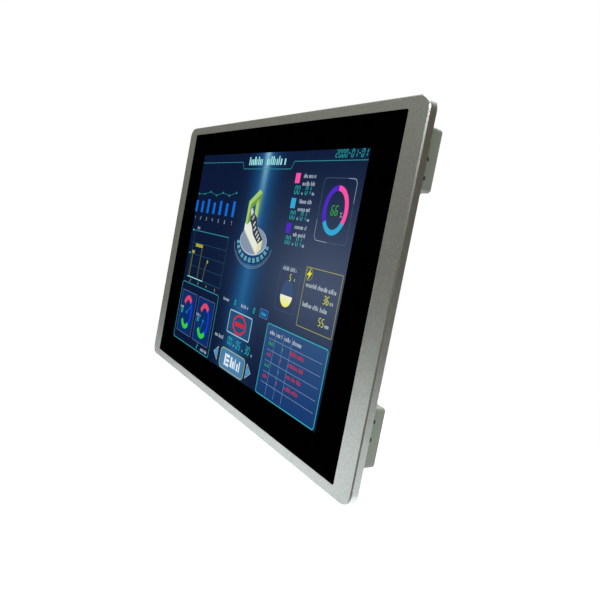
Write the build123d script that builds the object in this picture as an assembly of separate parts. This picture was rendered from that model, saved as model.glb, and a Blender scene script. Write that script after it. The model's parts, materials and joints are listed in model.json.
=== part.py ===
from build123d import *
import os

# An operator panel with a 15 inch touch display, made to stand in a cut-out of a cabinet door.
# Millimetres. The origin is the middle of the seat face, where the bezel's rear meets the cabinet's sheet.
# +X is to the right of someone who faces the picture, +Y goes into the cabinet, +Z is up.

# ---- picture and glass
picture_width = 304.1
picture_height = 228.1
side_border = 33.85  # black border of the glass beside the picture
end_border = 26.5  # black border above and below the picture
glass_thickness = 3.0
glass_corner = 1.6
glass_gap = 0.2  # round the glass in its pocket
tape_thickness = 0.5
tape_inset = 0.5  # from the tape's edges to those of the glass and the ledge

# ---- bezel
side_rim = 19.9  # metal beside the glass pocket
end_rim = 9.25  # metal above and below the glass pocket
bezel_thickness = 7.5
bezel_corner = 11.0
bezel_chamfer = 1.0
side_ledge = 14.0  # what the glass is taped to, beside the opening
end_ledge = 8.0
opening_corner = 3.0
seat_width = 8.0  # how far the bezel laps the cabinet's sheet
seat_rebate = 1.0  # the bezel's rear inside the seat is this much lower
gasket_width = 3.0
gasket_depth = 2.0

# ---- rear housing
lug_gap = 1.0  # from the lugs to the edge of the cut-out
lug_reach = 11.0  # from the housing's side wall to the lug's face
end_gap = 2.0  # from the housing to the cut-out, above and below
housing_depth = 20.6  # from the seat to the housing's rear face
housing_wall = 3.0
floor_thickness = 2.5
housing_corner = 8.0
housing_edge = 1.5  # rounding of the rear edges
lug_height = 47.2
upper_lug_inset = 7.6  # from the housing's top to the upper lugs
lower_lug_inset = 14.9  # from the housing's bottom to the lower lugs
lug_end_radius = 3.0
lug_root_radius = 4.0
slot_pitch = 13.9
slot_height = 3.0
slot_length = 6.2
slot_rear = 11.4  # the slot's rear end, from the seat
slot_depth = 8.0
upper_slot_shift = -7.2  # from the middle of a lug to the middle of its two slots
lower_slot_shift = 6.6
window_width = 64.0  # the way through the housing's floor for the display's cable
window_height = 16.0
window_z = 30.0
boss_radius = 3.0
boss_height = 2.0
boss_inset = 5.0  # from the controller board's ends

# ---- display module and touch sensor
sensor_margin = 9.0  # touch sensor round the picture
sensor_thickness = 1.1
sensor_corner = 1.0
foam_thickness = 0.8
foam_width = 4.0
tail_bond = 2.5  # strip round the foam that the sensor's tail is bonded in
tail_start = 0.3  # from the foam to the tail's end
module_side = 11.2  # display module round the picture
module_end = 12.7
module_thickness = 10.8
module_sheet = 0.8
module_corner = 1.5
module_lip_gap = 1.2  # from the picture to the edge of the module's front frame
module_skirt_step = 1.0  # the frame's skirt ends this much before the module's rear
cell_thickness = 1.4
cell_gap = 1.5
guide_thickness = 6.0
bracket_sheet = 1.5
bracket_end = 6.0  # rails past the last posts
module_screw_inset = 4.0  # from the module's rear to the screws in its sides
module_screw_end = 36.0  # from the module's ends to the outer screws
module_screw_bite = 0.8
ribbon_thickness = 0.3
ribbon_turn = 1.5
tail_width = 12.0
cable_width = 40.0
controller_width = 60.0
controller_height = 22.0
controller_inset = 40.0  # from the housing's bottom to the controller's middle
controller_socket = (14.0, 4.0, 1.4)  # width, height, thickness
controller_chip = (9.0, 9.0, 1.2)

# ---- posts, screws and clearances
post_flats = 6.0
post_stud = 1.5
post_end = 22.0  # from the housing's ends to the outer posts
post_skin = 0.5  # metal left in front of a post's stud
post_thread = 8.0
screw_radius = 1.5
screw_hole = 1.7
screw_head = 2.9
screw_head_height = 1.8
recess_half = 1.7  # half the length of a cross recess
recess_width = 0.7
recess_depth = 0.9
screw_bite = 6.0
slip = 0.1  # between a piece and the hole that it slides or sits in

# ---- earth terminal
stud_radius = 2.0
stud_length = 12.0
stud_head_radius = 4.0
stud_head_height = 1.5
stud_tip = 0.4
stud_side = 36.0  # from the housing's side
stud_end = 30.0  # from the housing's bottom
nut_flats = 7.0
nut_height = 3.2
washer_radius = 4.5
washer_height = 0.8

# ---- rear cover and main board
cover_width = 240.0
cover_height = 170.0
cover_depth = 25.4
cover_sheet = 1.2
cover_corner = 2.0
cover_edge = 1.6
cover_flange = 10.0
flange_short = 10.0  # the flanges end this much before the cover's ends
cover_screw_row = 56.7
standoff_height = 6.0
standoff_radius = 3.0
standoff_inset = 5.0
standoff_low = 50.0  # from the board's bottom to the lower standoffs
standoff_thread = 4.0
board_thickness = 1.6
board_corner = 1.5
board_gap = 6.0  # from the board's edge to the cover's wall
board_foot = 3.0  # from the board's bottom to the cover's wall
board_height = 140.0
vesa_pitch = 75.0
vesa_hole = 2.0
vesa_shank = 2.9
vesa_flange = 4.2
vesa_flange_height = 1.4
vesa_shank_height = 4.0
vent_width = 2.4
vent_length = 11.0
vent_pitch = 6.0
vent_drop = 17.0  # from the cover's top to the middle of the rear vents
vent_margin = 20.0
top_vent_ends = (2.0, 12.0)  # from the board's rear face

# ---- what stands on the board
chip_place = (-30.0, 5.0)
chip_size = 21.0
chip_height = 1.8
pad_size = 19.0
pad_height = 1.0
sink_width = 46.0
sink_height = 40.0
sink_depth = 8.0
sink_base = 2.0
sink_pitch = 6.0
sink_groove = 3.6
memory_size = (12.0, 9.0, 1.1)  # width, height, thickness
memory_x = 8.0
memory_rows = (-6.0, 6.0, 18.0)
coil_size = 12.0
coil_height = 5.5
coil_rise = 38.8  # from the board's bottom to the middle of the coils
can_radius = 4.0
can_height = 10.5
can_rise = 14.0  # from the coils to the capacitors
supply_pitch = 16.0
buzzer_radius = 6.0
buzzer_height = 8.0
buzzer_mouth = 1.2
buzzer_mouth_depth = 1.5
buzzer_place = (-80.0, 30.0)
coin_radius = 10.0
coin_height = 3.2
coin_shift = (-12.0, -2.0)  # from the middle of the door
holder_size = 25.0
holder_height = 5.0
holder_base = 1.2
holder_notch = 8.0
card_shift = (17.0, -2.0)  # from the middle of the door
card_width = 13.0
card_length = 19.0
card_thickness = 1.1
card_stand = 2.0  # how far the card stands out of its socket
card_socket_size = (19.0, 20.0, 3.6)  # width, height, thickness
card_socket_base = 1.1
card_travel_gap = 0.1

# ---- service door
door_width = 60.0
door_height = 40.0
door_side = 36.0  # from the cover's side to the middle of the door
door_drop = 45.0  # from the cover's top to the middle of the door
door_lap = 3.0  # how far the door laps the cover round its opening
door_corner = 2.0
door_sheet = 1.2
door_gap = 0.15
pin_radius = 1.0
pin_clearance = 0.05
pin_overhang = 0.5
knuckle_radius = 2.3
knuckle_length = 9.0
knuckle_gap = 0.3
finger_notch = (12.0, 4.0)

# ---- sockets along the bottom edge: width in X, thickness in Y, depth in Z
socket_space = 3.2  # between neighbours
socket_gap = 0.4  # round each socket in the cover
ethernet_size = (16.0, 13.4, 21.0)
ethernet_cavity = (11.8, 7.0, 14.0)
ethernet_latch = (6.0, 1.7, 9.0)
contact_count = 8
contact_pitch = 1.02
contact_width = 0.4
contact_set_back = 3.0
usb_size = (13.2, 5.8, 14.5)
usb_wall = 0.35
usb_tongue = (11.1, 1.8)
usb_tongue_gap = 0.65  # from the tongue to the shell
usb_floor = 3.0  # thickness of the insert behind the mouth
usb_device_size = (12.0, 11.0, 16.0)
usb_device_cavity = (8.4, 7.8, 9.0)
usb_device_tongue = (5.6, 3.2)
tongue_set_back = 1.3
serial_plate = (30.8, 12.5, 1.0)
serial_block = (19.0, 11.5, 10.0)
serial_shell = (16.9, 8.3)
serial_wall = 0.5
serial_floor = 0.5  # the insert's face, out of the cover
pin_stand = 0.6  # from the shell's rim to the pins' tips
pin_root = 2.0
serial_lean = 0.75
serial_corner = 1.4
serial_stand = 5.9  # the shell stands this far out of the cover
pin_pitch = 2.77
pin_row = 1.42  # half the distance between the two rows
contact_pin_radius = 0.5
screwlock_spacing = 25.0
screwlock_flats = 4.8
screwlock_stand = 4.9
screwlock_bore = 1.4

# ---- power terminal
pole_pitch = 5.08
poles = 3
power_height = 11.0
power_wall = 1.0
power_side = 0.4
header_depth = 12.0
plug_length = 18.0
plug_reach = 8.0  # how far the plug goes into its header
plug_pin_bore = 0.7
header_pin_set_back = 1.5
header_pin_root = 2.0
wire_radius = 1.6
wire_depth = 7.0
wire_shift = 1.5  # from the pins' row towards the board
plug_screw_radius = 1.5
plug_screw_length = 3.0
plug_screw_sink = 0.6
plug_screw_rise = 4.5  # from the plug's lower end

# ---- switches
switch_size = (7.0, 8.0, 9.0)
switch_set_back = 0.4  # behind the cover's outer face
slot_floor = 2.5
lever_width = 1.2
lever_travel = 1.6
lever_length = 2.6
lever_stand = 0.2
lever_rows = (-1.27, 1.27)
reset_size = (7.0, 8.0, 7.0)
reset_radius = 1.75
reset_travel = 0.6
reset_well = 3.0
reset_set_back = 0.2  # behind the cover's outer face
reset_hole = 2.0

# ---- what follows from them
glass_width = picture_width + 2 * side_border
glass_height = picture_height + 2 * end_border
pocket_width = glass_width + 2 * glass_gap
pocket_height = glass_height + 2 * glass_gap
bezel_width = pocket_width + 2 * side_rim
bezel_height = pocket_height + 2 * end_rim
opening_width = glass_width - 2 * side_ledge
opening_height = glass_height - 2 * end_ledge
cutout_width = bezel_width - 2 * seat_width
cutout_height = bezel_height - 2 * seat_width
cutout_corner = max(bezel_corner - seat_width, 0.5)
lug_face = cutout_width / 2 - lug_gap
housing_width = 2 * (lug_face - lug_reach)
housing_height = cutout_height - 2 * end_gap
upper_lug_z = housing_height / 2 - upper_lug_inset - lug_height / 2
lower_lug_z = -(housing_height / 2 - lower_lug_inset - lug_height / 2)

front = -bezel_thickness
glass_rear = front + glass_thickness
ledge_front = glass_rear + tape_thickness
rebate = -seat_rebate
floor_front = housing_depth - floor_thickness
sensor_width = picture_width + 2 * sensor_margin
sensor_height = picture_height + 2 * sensor_margin
sensor_rear = glass_rear + sensor_thickness
module_front = sensor_rear + foam_thickness
module_rear = module_front + module_thickness
pan_front = module_front + module_sheet
guide_front = pan_front + cell_thickness
guide_rear = guide_front + guide_thickness
module_width = picture_width + 2 * module_side
module_height = picture_height + 2 * module_end
module_screw_y = module_rear - module_screw_inset
module_screw_rows = [step * (module_height / 2 - module_screw_end) for step in (-1, 0, 1)]
controller_z = -housing_height / 2 + controller_inset
controller_rear = floor_front - boss_height
controller_front = controller_rear - board_thickness

post_x = (opening_width / 2 + housing_width / 2 - housing_wall) / 2
post_rows = [step * (housing_height / 2 - post_end) / 3 for step in (-3, -1, 1, 3)]
post_places = [(side * post_x, z) for side in (-1, 1) for z in post_rows]
stud_place = (housing_width / 2 - stud_side, -housing_height / 2 + stud_end)
bracket_rear = rebate + bracket_sheet

board_front = housing_depth + standoff_height
board_rear = board_front + board_thickness
board_width = cover_width - 2 * (cover_sheet + board_gap)
board_bottom = -cover_height / 2 + cover_sheet + board_foot
cover_rear = housing_depth + cover_depth
cover_inner = cover_rear - cover_sheet
cover_bottom = -cover_height / 2
wall_top = cover_bottom + cover_sheet  # inner face of the cover's bottom wall
standoff_rows = (board_bottom + standoff_low, board_bottom + board_height - standoff_inset)
standoff_places = [(side * (board_width / 2 - standoff_inset), z) for side in (-1, 1) for z in standoff_rows]
cover_screw_x = cover_width / 2 + cover_flange / 2
cover_screw_rows = (-cover_screw_row, 0, cover_screw_row)
cover_screw_places = [(x, z) for x in (-cover_screw_x, cover_screw_x) for z in cover_screw_rows]
vesa_places = [(x * vesa_pitch / 2, z * vesa_pitch / 2) for x in (-1, 1) for z in (-1, 1)]

door_x = cover_width / 2 - door_side
door_z = cover_height / 2 - door_drop
door_front = cover_rear + door_gap
door_left = door_x - door_width / 2
door_right = door_x + door_width / 2
hinge_y = cover_rear + knuckle_radius + door_gap
hinge_z = door_z + door_height / 2 + knuckle_radius
coin_place = (door_x + coin_shift[0], door_z + coin_shift[1])
card_place = (door_x + card_shift[0], door_z + card_shift[1])

power_width = poles * pole_pitch + 2 * (power_wall + power_side)
row_widths = [serial_plate[0]] * 2 + [ethernet_size[0]] * 2 + [usb_size[0]] * 2
row_widths += [usb_device_size[0], switch_size[0], reset_size[0], power_width]
row_start = -(sum(row_widths) + socket_space * (len(row_widths) - 1)) / 2
row_steps = range(len(row_widths))
row_middles = [row_start + sum(row_widths[:i]) + i * socket_space + row_widths[i] / 2 for i in row_steps]
serial_x, ethernet_x, usb_x = row_middles[0:2], row_middles[2:4], row_middles[4:6]
usb_device_x, switch_x, reset_x, power_x = row_middles[6:10]
serial_y = board_rear + serial_plate[1] / 2 - serial_wall
power_y = board_rear + power_height / 2 + power_wall
switch_y = board_rear + switch_size[1] / 2
reset_y = board_rear + reset_size[1] / 2
switch_low = cover_bottom + switch_set_back
reset_low = wall_top + 1.0
pole_places = [power_x + (step - (poles - 1) / 2) * pole_pitch for step in range(poles)]
plug_low = cover_bottom + plug_reach - plug_length
plug_high = cover_bottom + plug_reach
plug_ends = (board_rear + power_wall + slip, board_rear + power_wall + power_height - slip)


# ---- shapes that repeat
def slab(x_ends, y_ends, z_ends):
    """A box between two values on each axis."""
    middle = [(a + b) / 2 for a, b in (x_ends, y_ends, z_ends)]
    sides = [abs(b - a) for a, b in (x_ends, y_ends, z_ends)]
    return Pos(*middle) * Box(*sides)


def around(middle, length):
    """The two ends of a length about its middle."""
    return middle - length / 2, middle + length / 2


def plate(width, height, corner, near, far, x=0.0, z=0.0):
    """A rounded rectangle that stands in XZ, from y = near to y = far."""
    outline = RectangleRounded(width, height, corner) if corner > 0 else Rectangle(width, height)
    return extrude(Plane.XZ.offset(-far) * Pos(x, z) * outline, amount=far - near)


def bar(radius, near, far, x=0.0, z=0.0):
    """A round bar along Y."""
    return extrude(Plane.XZ.offset(-far) * Pos(x, z) * Circle(radius), amount=far - near)


def hex_bar(flats, near, far, x=0.0, z=0.0):
    """A hexagonal bar along Y, with its size across the flats."""
    outline = RegularPolygon(flats / 2, 6, major_radius=False)
    return extrude(Plane.XZ.offset(-far) * Pos(x, z) * outline, amount=far - near)


def upright(radius, low, high, x, y):
    """A round bar along Z."""
    return Pos(x, y, (low + high) / 2) * Cylinder(radius, high - low)


def cross_bar(radius, length, x, y, z):
    """A round bar along X about its middle."""
    return Pos(x, y, z) * Rot(0, 90, 0) * Cylinder(radius, length)


def group(solids):
    """Separate solids kept in one node."""
    return Compound(children=list(solids))


def pan_screw(near, far, x, z):
    """A pan-head screw along Y whose thread runs from near to far and whose head stands beyond far."""
    top = far + screw_head_height
    body = bar(screw_radius, near, far, x, z) + bar(screw_head, far, top, x, z)
    depth = (top - recess_depth, top + 1)
    body -= slab(around(x, 2 * recess_half), depth, around(z, recess_width))
    return body - slab(around(x, recess_width), depth, around(z, 2 * recess_half))


# ---- front: bezel, glass, tape and gasket
def front_bezel():
    body = plate(bezel_width, bezel_height, bezel_corner, front, 0)
    body = chamfer(body.faces().sort_by(Axis.Y)[0].edges(), bezel_chamfer)
    body -= plate(pocket_width, pocket_height, glass_corner + glass_gap, front - 1, ledge_front)
    body -= plate(opening_width, opening_height, opening_corner, front, 1)
    body -= plate(cutout_width, cutout_height, cutout_corner, rebate, 1)
    body -= panel_gasket()
    for x, z in post_places:
        body -= bar(post_stud, ledge_front + post_skin, 0, x, z)
    return body


def panel_gasket():
    """The seal lies in a groove in the middle of the seat, drawn as pressed flush."""
    outer = (seat_width - gasket_width) / 2
    inner = outer + gasket_width
    sizes = [(bezel_width - 2 * i, bezel_height - 2 * i, max(bezel_corner - i, 0.5)) for i in (outer, inner)]
    return plate(*sizes[0], -gasket_depth, 0) - plate(*sizes[1], -gasket_depth - 1, 1)


def cover_glass():
    return plate(glass_width, glass_height, glass_corner, front, glass_rear)


def glass_tape():
    inset = 2 * tape_inset
    outer = plate(glass_width - inset, glass_height - inset, glass_corner, glass_rear, ledge_front)
    inner_size = (opening_width + inset, opening_height + inset)
    return outer - plate(*inner_size, opening_corner, glass_rear - 1, ledge_front + 1)


def touch_sensor():
    return plate(sensor_width, sensor_height, sensor_corner, glass_rear, sensor_rear)


def foam_frame():
    outer_width, outer_height = sensor_width - 2 * tail_bond, sensor_height - 2 * tail_bond
    outer = plate(outer_width, outer_height, sensor_corner, sensor_rear, module_front)
    inner_size = (outer_width - 2 * foam_width, outer_height - 2 * foam_width)
    return outer - plate(*inner_size, sensor_corner, sensor_rear - 1, module_front + 1)


# ---- display module
def inside_frame(gap):
    """Width and height inside the module's frame, less a gap all round, and the corner that fits."""
    inset = 2 * (module_sheet + gap)
    return module_width - inset, module_height - inset, module_corner - module_sheet


def drill_sides(body, depth):
    """The holes that the side screws pass through, centred on the module's side faces."""
    for side in (-1, 1):
        for z in module_screw_rows:
            body -= cross_bar(screw_radius, 2 * depth, side * module_width / 2, module_screw_y, z)
    return body


def module_frame():
    """Folded sheet frame round the module, with the window that the picture is seen through."""
    body = plate(module_width, module_height, module_corner, module_front, module_rear - module_skirt_step)
    body -= plate(*inside_frame(0), pan_front, module_rear)
    window_size = (picture_width + 2 * module_lip_gap, picture_height + 2 * module_lip_gap)
    body -= plate(*window_size, 0, module_front - 1, module_rear)
    return drill_sides(body, 2 * module_sheet)


def lcd_cell():
    return plate(*inside_frame(cell_gap), pan_front, guide_front)


def light_guide():
    return plate(*inside_frame(cell_gap), guide_front, guide_rear)


def module_tray():
    """Rear pan of the module, which slides into the frame and holds the light guide."""
    body = plate(*inside_frame(slip), pan_front, module_rear)
    body -= plate(*inside_frame(cell_gap), pan_front - 1, guide_rear)
    return drill_sides(body, module_sheet + slip + cell_gap)


def module_brackets():
    """Two angle rails: one leg lies on the module's side, the other is clamped under the posts."""
    rails = []
    half = post_rows[-1] + bracket_end
    for side in (-1, 1):
        near, far = side * module_width / 2, side * (post_x + post_flats / 2)
        rail = slab((near, far), (rebate, bracket_rear), (-half, half))
        rail += slab((near, near + side * bracket_sheet), (rebate, module_rear), (-half, half))
        for z in post_rows:
            rail -= bar(post_stud, rebate - 1, bracket_rear + 1, side * post_x, z)
        for z in module_screw_rows:  # room for the screws' heads, which reach the outer leg on a thin module
            room = screw_head_height + slip
            middle = side * (module_width / 2 + bracket_sheet + room / 2)
            rail -= cross_bar(screw_head + slip, room, middle, module_screw_y, z)
        rails.append(drill_sides(rail, 2 * bracket_sheet))
    return group(rails)


def module_screws():
    """Short screws through the rails into the module's sides."""
    screws = []
    length = bracket_sheet + module_sheet + slip + module_screw_bite
    for side in (-1, 1):
        seat = side * (module_width / 2 + bracket_sheet)
        for z in module_screw_rows:
            shank = cross_bar(screw_radius, length, seat - side * length / 2, module_screw_y, z)
            head_x = seat + side * screw_head_height / 2
            head = cross_bar(screw_head, screw_head_height, head_x, module_screw_y, z)
            screws.append(shank + head)
    return group(screws)


# ---- posts and screws that hold the housing to the bezel
def bezel_posts():
    """Hexagonal posts with a stud at the front and a threaded hole at the rear."""
    posts = []
    for x, z in post_places:
        post = hex_bar(post_flats, bracket_rear, floor_front, x, z)
        post += bar(post_stud, ledge_front + post_skin, bracket_rear, x, z)
        posts.append(post - bar(screw_radius, floor_front - post_thread, floor_front + 1, x, z))
    return group(posts)


def housing_screws():
    return group(pan_screw(floor_front - screw_bite, housing_depth, x, z) for x, z in post_places)


# ---- rear housing
def lug_block(side, z, slot_shift):
    """One lug as cast on the housing's side wall, with its two clamp slots."""
    wall = housing_width / 2
    inside = 0.8 * housing_wall
    outline = Pos(wall + (lug_reach - inside) / 2, z) * Rectangle(lug_reach + inside, lug_height)
    outline += Pos(wall - inside / 2, z) * Rectangle(inside, lug_height + 4 * lug_root_radius)
    near_lug = [v for v in outline.vertices() if abs(v.Y - z) < lug_height / 2 + 0.01]
    outline = fillet([v for v in near_lug if abs(v.X - wall) < 0.01], lug_root_radius)
    outline = fillet([v for v in outline.vertices() if v.X > lug_face - 0.01], lug_end_radius)
    block = extrude(Plane.XZ.offset(-housing_depth) * outline, amount=housing_depth + seat_rebate)
    rear_edges = block.faces().sort_by(Axis.Y)[-1].edges()
    block = fillet([e for e in rear_edges if e.center().X > wall + 0.1], housing_edge)
    for step in (-0.5, 0.5):
        reach = (lug_face - slot_depth, lug_face + 1)
        slot_z = z + slot_shift + step * slot_pitch
        block -= slab(reach, (slot_rear - slot_length, slot_rear), around(slot_z, slot_height))
    return block if side > 0 else mirror(block, about=Plane.YZ)


def rear_housing():
    """Cast tray over the display module, with the lugs that the mounting clamps hook into."""
    body = plate(housing_width, housing_height, housing_corner, rebate, housing_depth)
    body = fillet(body.faces().sort_by(Axis.Y)[-1].edges(), housing_edge)
    for side in (-1, 1):
        body += lug_block(side, upper_lug_z, upper_slot_shift)
        body += lug_block(side, lower_lug_z, lower_slot_shift)
    inner_size = (housing_width - 2 * housing_wall, housing_height - 2 * housing_wall)
    body -= plate(*inner_size, housing_corner - housing_wall, rebate - 1, floor_front)
    through = (floor_front - 1, housing_depth + 1)
    body -= plate(window_width, window_height, cover_corner, *through, z=window_z)
    for x, z in post_places:
        body -= bar(screw_hole, *through, x, z)
    for x, z in standoff_places + cover_screw_places:
        body -= bar(screw_radius, *through, x, z)
    body -= bar(stud_radius, *through, *stud_place)
    for x in (-controller_width / 2 + boss_inset, controller_width / 2 - boss_inset):
        body += bar(boss_radius, controller_rear, floor_front, x, controller_z)
    return body


# ---- earth terminal on the housing
def earth_stud():
    head_front = floor_front - stud_head_height
    body = bar(stud_radius, head_front, housing_depth + stud_length, *stud_place)
    body += bar(stud_head_radius, head_front, floor_front, *stud_place)
    return chamfer(body.faces().sort_by(Axis.Y)[-1].edges(), stud_tip)


def earth_nut():
    seat = housing_depth + washer_height
    hole = bar(stud_radius, seat - 1, seat + nut_height + 1, *stud_place)
    return hex_bar(nut_flats, seat, seat + nut_height, *stud_place) - hole


def earth_washer():
    rear = housing_depth + washer_height
    return bar(washer_radius, housing_depth, rear, *stud_place) - bar(stud_radius, 0, rear + 1, *stud_place)


# ---- touch controller and ribbons
def touch_controller():
    """Small board on two cast bosses of the housing's floor."""
    near, far = controller_front, controller_rear
    body = plate(controller_width, controller_height, sensor_corner, near, far, z=controller_z)
    width, height, thick = controller_chip
    body += plate(width, height, 0, near - thick, near, x=controller_width / 5, z=controller_z)
    width, height, thick = controller_socket
    return body + plate(width, height, 0, near - thick, near, z=controller_z - controller_height / 2 + height)


def ribbon(points, width):
    """A flat cable: a line in YZ with rounded turns, given its thickness and its width along X."""
    outline = trace(FilletPolyline(*points, radius=ribbon_turn), ribbon_thickness)
    return extrude(Plane.YZ.offset(-width / 2) * outline, amount=width)


def touch_tail():
    """From the sensor's lower edge, round the module, to the controller's socket."""
    bottom = -(module_height + opening_height) / 4
    start_y = sensor_rear + ribbon_thickness / 2
    end_y = controller_front - controller_socket[2] - ribbon_thickness / 2
    start_z = -sensor_height / 2 + tail_bond - tail_start
    end_z = controller_z - controller_height / 2 + controller_socket[1]
    return ribbon([(start_y, start_z), (start_y, bottom), (end_y, bottom), (end_y, end_z)], tail_width)


def lcd_cable():
    """From the module's rear through the window in the housing to the main board."""
    start, end = module_rear + ribbon_thickness / 2, board_front - ribbon_thickness / 2
    lean, low, high = window_height / 8, window_z - 1.5 * window_height, window_z + 1.5 * window_height
    return ribbon([(start, low), (start, window_z - lean), (end, window_z + lean), (end, high)], cable_width)


# ---- main board and what stands on it
def board_standoffs():
    posts = []
    for x, z in standoff_places:
        post = bar(standoff_radius, housing_depth, board_front, x, z)
        post += bar(screw_radius, floor_front, housing_depth, x, z)
        posts.append(post - bar(screw_radius, board_front - standoff_thread, board_front + 1, x, z))
    return group(posts)


def board_screws():
    return group(pan_screw(board_front - standoff_thread, board_rear, x, z) for x, z in standoff_places)


def main_board():
    middle = board_bottom + board_height / 2
    body = plate(board_width, board_height, board_corner, board_front, board_rear, z=middle)
    for x, z in standoff_places:
        body -= bar(screw_radius, board_front - 1, board_rear + 1, x, z)
    return body


def on_board(width, height, thick, x, z, corner=0.0, rise=0.0):
    """A flat part that stands on the board's rear face, or above it by a rise."""
    near = board_rear + rise
    return plate(width, height, corner, near, near + thick, x=x, z=z)


def processor():
    return on_board(chip_size, chip_size, chip_height, *chip_place)


def thermal_pad():
    return on_board(pad_size, pad_size, pad_height, *chip_place, rise=chip_height)


def heat_sink():
    """Finned block on the processor."""
    base = board_rear + chip_height + pad_height
    body = plate(sink_width, sink_height, 0, base, base + sink_depth, x=chip_place[0], z=chip_place[1])
    grooves = int((sink_width - 2 * (sink_pitch - sink_groove)) / sink_pitch)
    for step in range(grooves):
        x = chip_place[0] + (step - (grooves - 1) / 2) * sink_pitch
        depth = (base + sink_base, base + sink_depth + 1)
        body -= slab(around(x, sink_groove), depth, around(chip_place[1], sink_height + 2))
    return body


def memory_chips():
    return group(on_board(*memory_size, memory_x, z) for z in memory_rows)


def power_coils():
    """Two square coils and two round capacitors of the supply, above the power terminal."""
    rise = board_bottom + coil_rise
    coils = [on_board(coil_size, coil_size, coil_height, x, rise) for x in around(power_x, supply_pitch)]
    can_ends = (board_rear, board_rear + can_height)
    cans = [bar(can_radius, *can_ends, x, rise + can_rise) for x in around(power_x, supply_pitch)]
    return group(coils + cans)


def buzzer():
    top = board_rear + buzzer_height
    mouth = bar(buzzer_mouth, top - buzzer_mouth_depth, top + 1, *buzzer_place)
    return bar(buzzer_radius, board_rear, top, *buzzer_place) - mouth


def battery_holder():
    """Square clip for the clock's cell, open at the rear and notched below for a fingertip."""
    x, z = coin_place
    body = on_board(holder_size, holder_size, holder_height, x, z, corner=3.0)
    well = (board_rear + holder_base, board_rear + holder_height + 1)
    body -= bar(coin_radius + slip, *well, x, z)
    return body - slab(around(x, holder_notch), well, (z - holder_size, z - holder_notch))


def coin_cell():
    near = board_rear + holder_base
    body = bar(coin_radius, near, near + coin_height, *coin_place)
    return chamfer(body.faces().sort_by(Axis.Y)[-1].edges(), 0.5)


def card_socket():
    """Socket for a memory card, open at its lower end."""
    x, z = card_place
    width, height, thick = card_socket_size
    body = on_board(width, height, thick, x, z)
    near = board_rear + card_socket_base
    depth = (near, near + card_thickness + 2 * slip)
    return body - slab(around(x, card_width + 2 * slip), depth, (z - height, card_low() + card_length + slip))


def card_low():
    """The card's lower end, which stands a little way out of its socket."""
    return card_place[1] - card_socket_size[1] / 2 - card_stand


def memory_card():
    near = board_rear + card_socket_base + slip
    low = card_low()
    return slab(around(card_place[0], card_width), (near, near + card_thickness), (low, low + card_length))


# ---- sockets in the bottom edge
def socket_block(size, x):
    """A socket's outside, standing on the board with its mouth flush with the cover's bottom."""
    width, height, depth = size
    return slab(around(x, width), (board_rear, board_rear + height), (cover_bottom, cover_bottom + depth))


def ethernet_floor():
    """The side of the plug's space that is nearer to the board."""
    return board_rear + (ethernet_size[1] - ethernet_cavity[1] + ethernet_latch[1]) / 2


def ethernet_sockets():
    """Two shielded sockets, each with a step for the plug's latch."""
    sockets = []
    width, height, depth = ethernet_cavity
    latch_width, latch_height, latch_depth = ethernet_latch
    floor = ethernet_floor()
    for x in ethernet_x:
        body = socket_block(ethernet_size, x)
        body -= slab(around(x, width), (floor, floor + height), (cover_bottom - 1, cover_bottom + depth))
        latch = (floor - latch_height, floor)
        body -= slab(around(x, latch_width), latch, (cover_bottom - 1, cover_bottom + latch_depth))
        sockets.append(body)
    return group(sockets)


def ethernet_contacts():
    """Spring contacts along the far side of each plug's space."""
    top = ethernet_floor() + ethernet_cavity[1]
    ends = (top - 2 * contact_width, top)
    length = (cover_bottom + contact_set_back, cover_bottom + ethernet_cavity[2])
    rows = [around(x, (contact_count - 1) * contact_pitch)[0] for x in ethernet_x]
    places = [start + step * contact_pitch for start in rows for step in range(contact_count)]
    return group(slab(around(x, contact_width), ends, length) for x in places)


def usb_sockets():
    """Two flat sockets of folded sheet, open at the mouth."""
    width, height, depth = usb_size
    inside = (board_rear + usb_wall, board_rear + height - usb_wall)
    mouth = (cover_bottom - 1, cover_bottom + depth - usb_wall)
    clear_width = width - 2 * usb_wall
    return group(socket_block(usb_size, x) - slab(around(x, clear_width), inside, mouth) for x in usb_x)


def usb_device_socket():
    """Square socket for a programming lead."""
    width, height, depth = usb_device_cavity
    cavity = around(board_rear + usb_device_size[1] / 2, height)
    mouth = (cover_bottom - 1, cover_bottom + depth)
    return socket_block(usb_device_size, usb_device_x) - slab(around(usb_device_x, width), cavity, mouth)


def usb_inserts():
    """The plastic block and tongue inside each of the two flat sockets, and the square socket's tongue."""
    inserts = []
    width, height, depth = usb_size
    high, low = board_rear + height - usb_wall, board_rear + usb_wall
    back = (cover_bottom + depth - usb_wall - usb_floor, cover_bottom + depth - usb_wall)
    for x in usb_x:
        block = slab(around(x, width - 2 * usb_wall), (low, high), back)
        tongue = (high - usb_tongue_gap - usb_tongue[1], high - usb_tongue_gap)
        length = (cover_bottom + tongue_set_back, back[0])
        inserts.append(block + slab(around(x, usb_tongue[0]), tongue, length))
    thick = around(board_rear + usb_device_size[1] / 2, usb_device_tongue[1])
    length = (cover_bottom + tongue_set_back, cover_bottom + usb_device_cavity[2])
    inserts.append(slab(around(usb_device_x, usb_device_tongue[0]), thick, length))
    return group(inserts)


def serial_outline(x, inset, low, high):
    """The shell's keystone section, pushed out along Z."""
    half_width, half_height = serial_shell[0] / 2 - inset, serial_shell[1] / 2 - inset
    corners = [
        (-half_width - serial_lean / 2, half_height),
        (half_width + serial_lean / 2, half_height),
        (half_width - serial_lean, -half_height),
        (-half_width + serial_lean, -half_height),
    ]
    outline = fillet(make_face(Polyline(*corners, close=True)).vertices(), serial_corner - inset / 2)
    return Pos(x, serial_y, low) * extrude(outline, amount=high - low)


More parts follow.
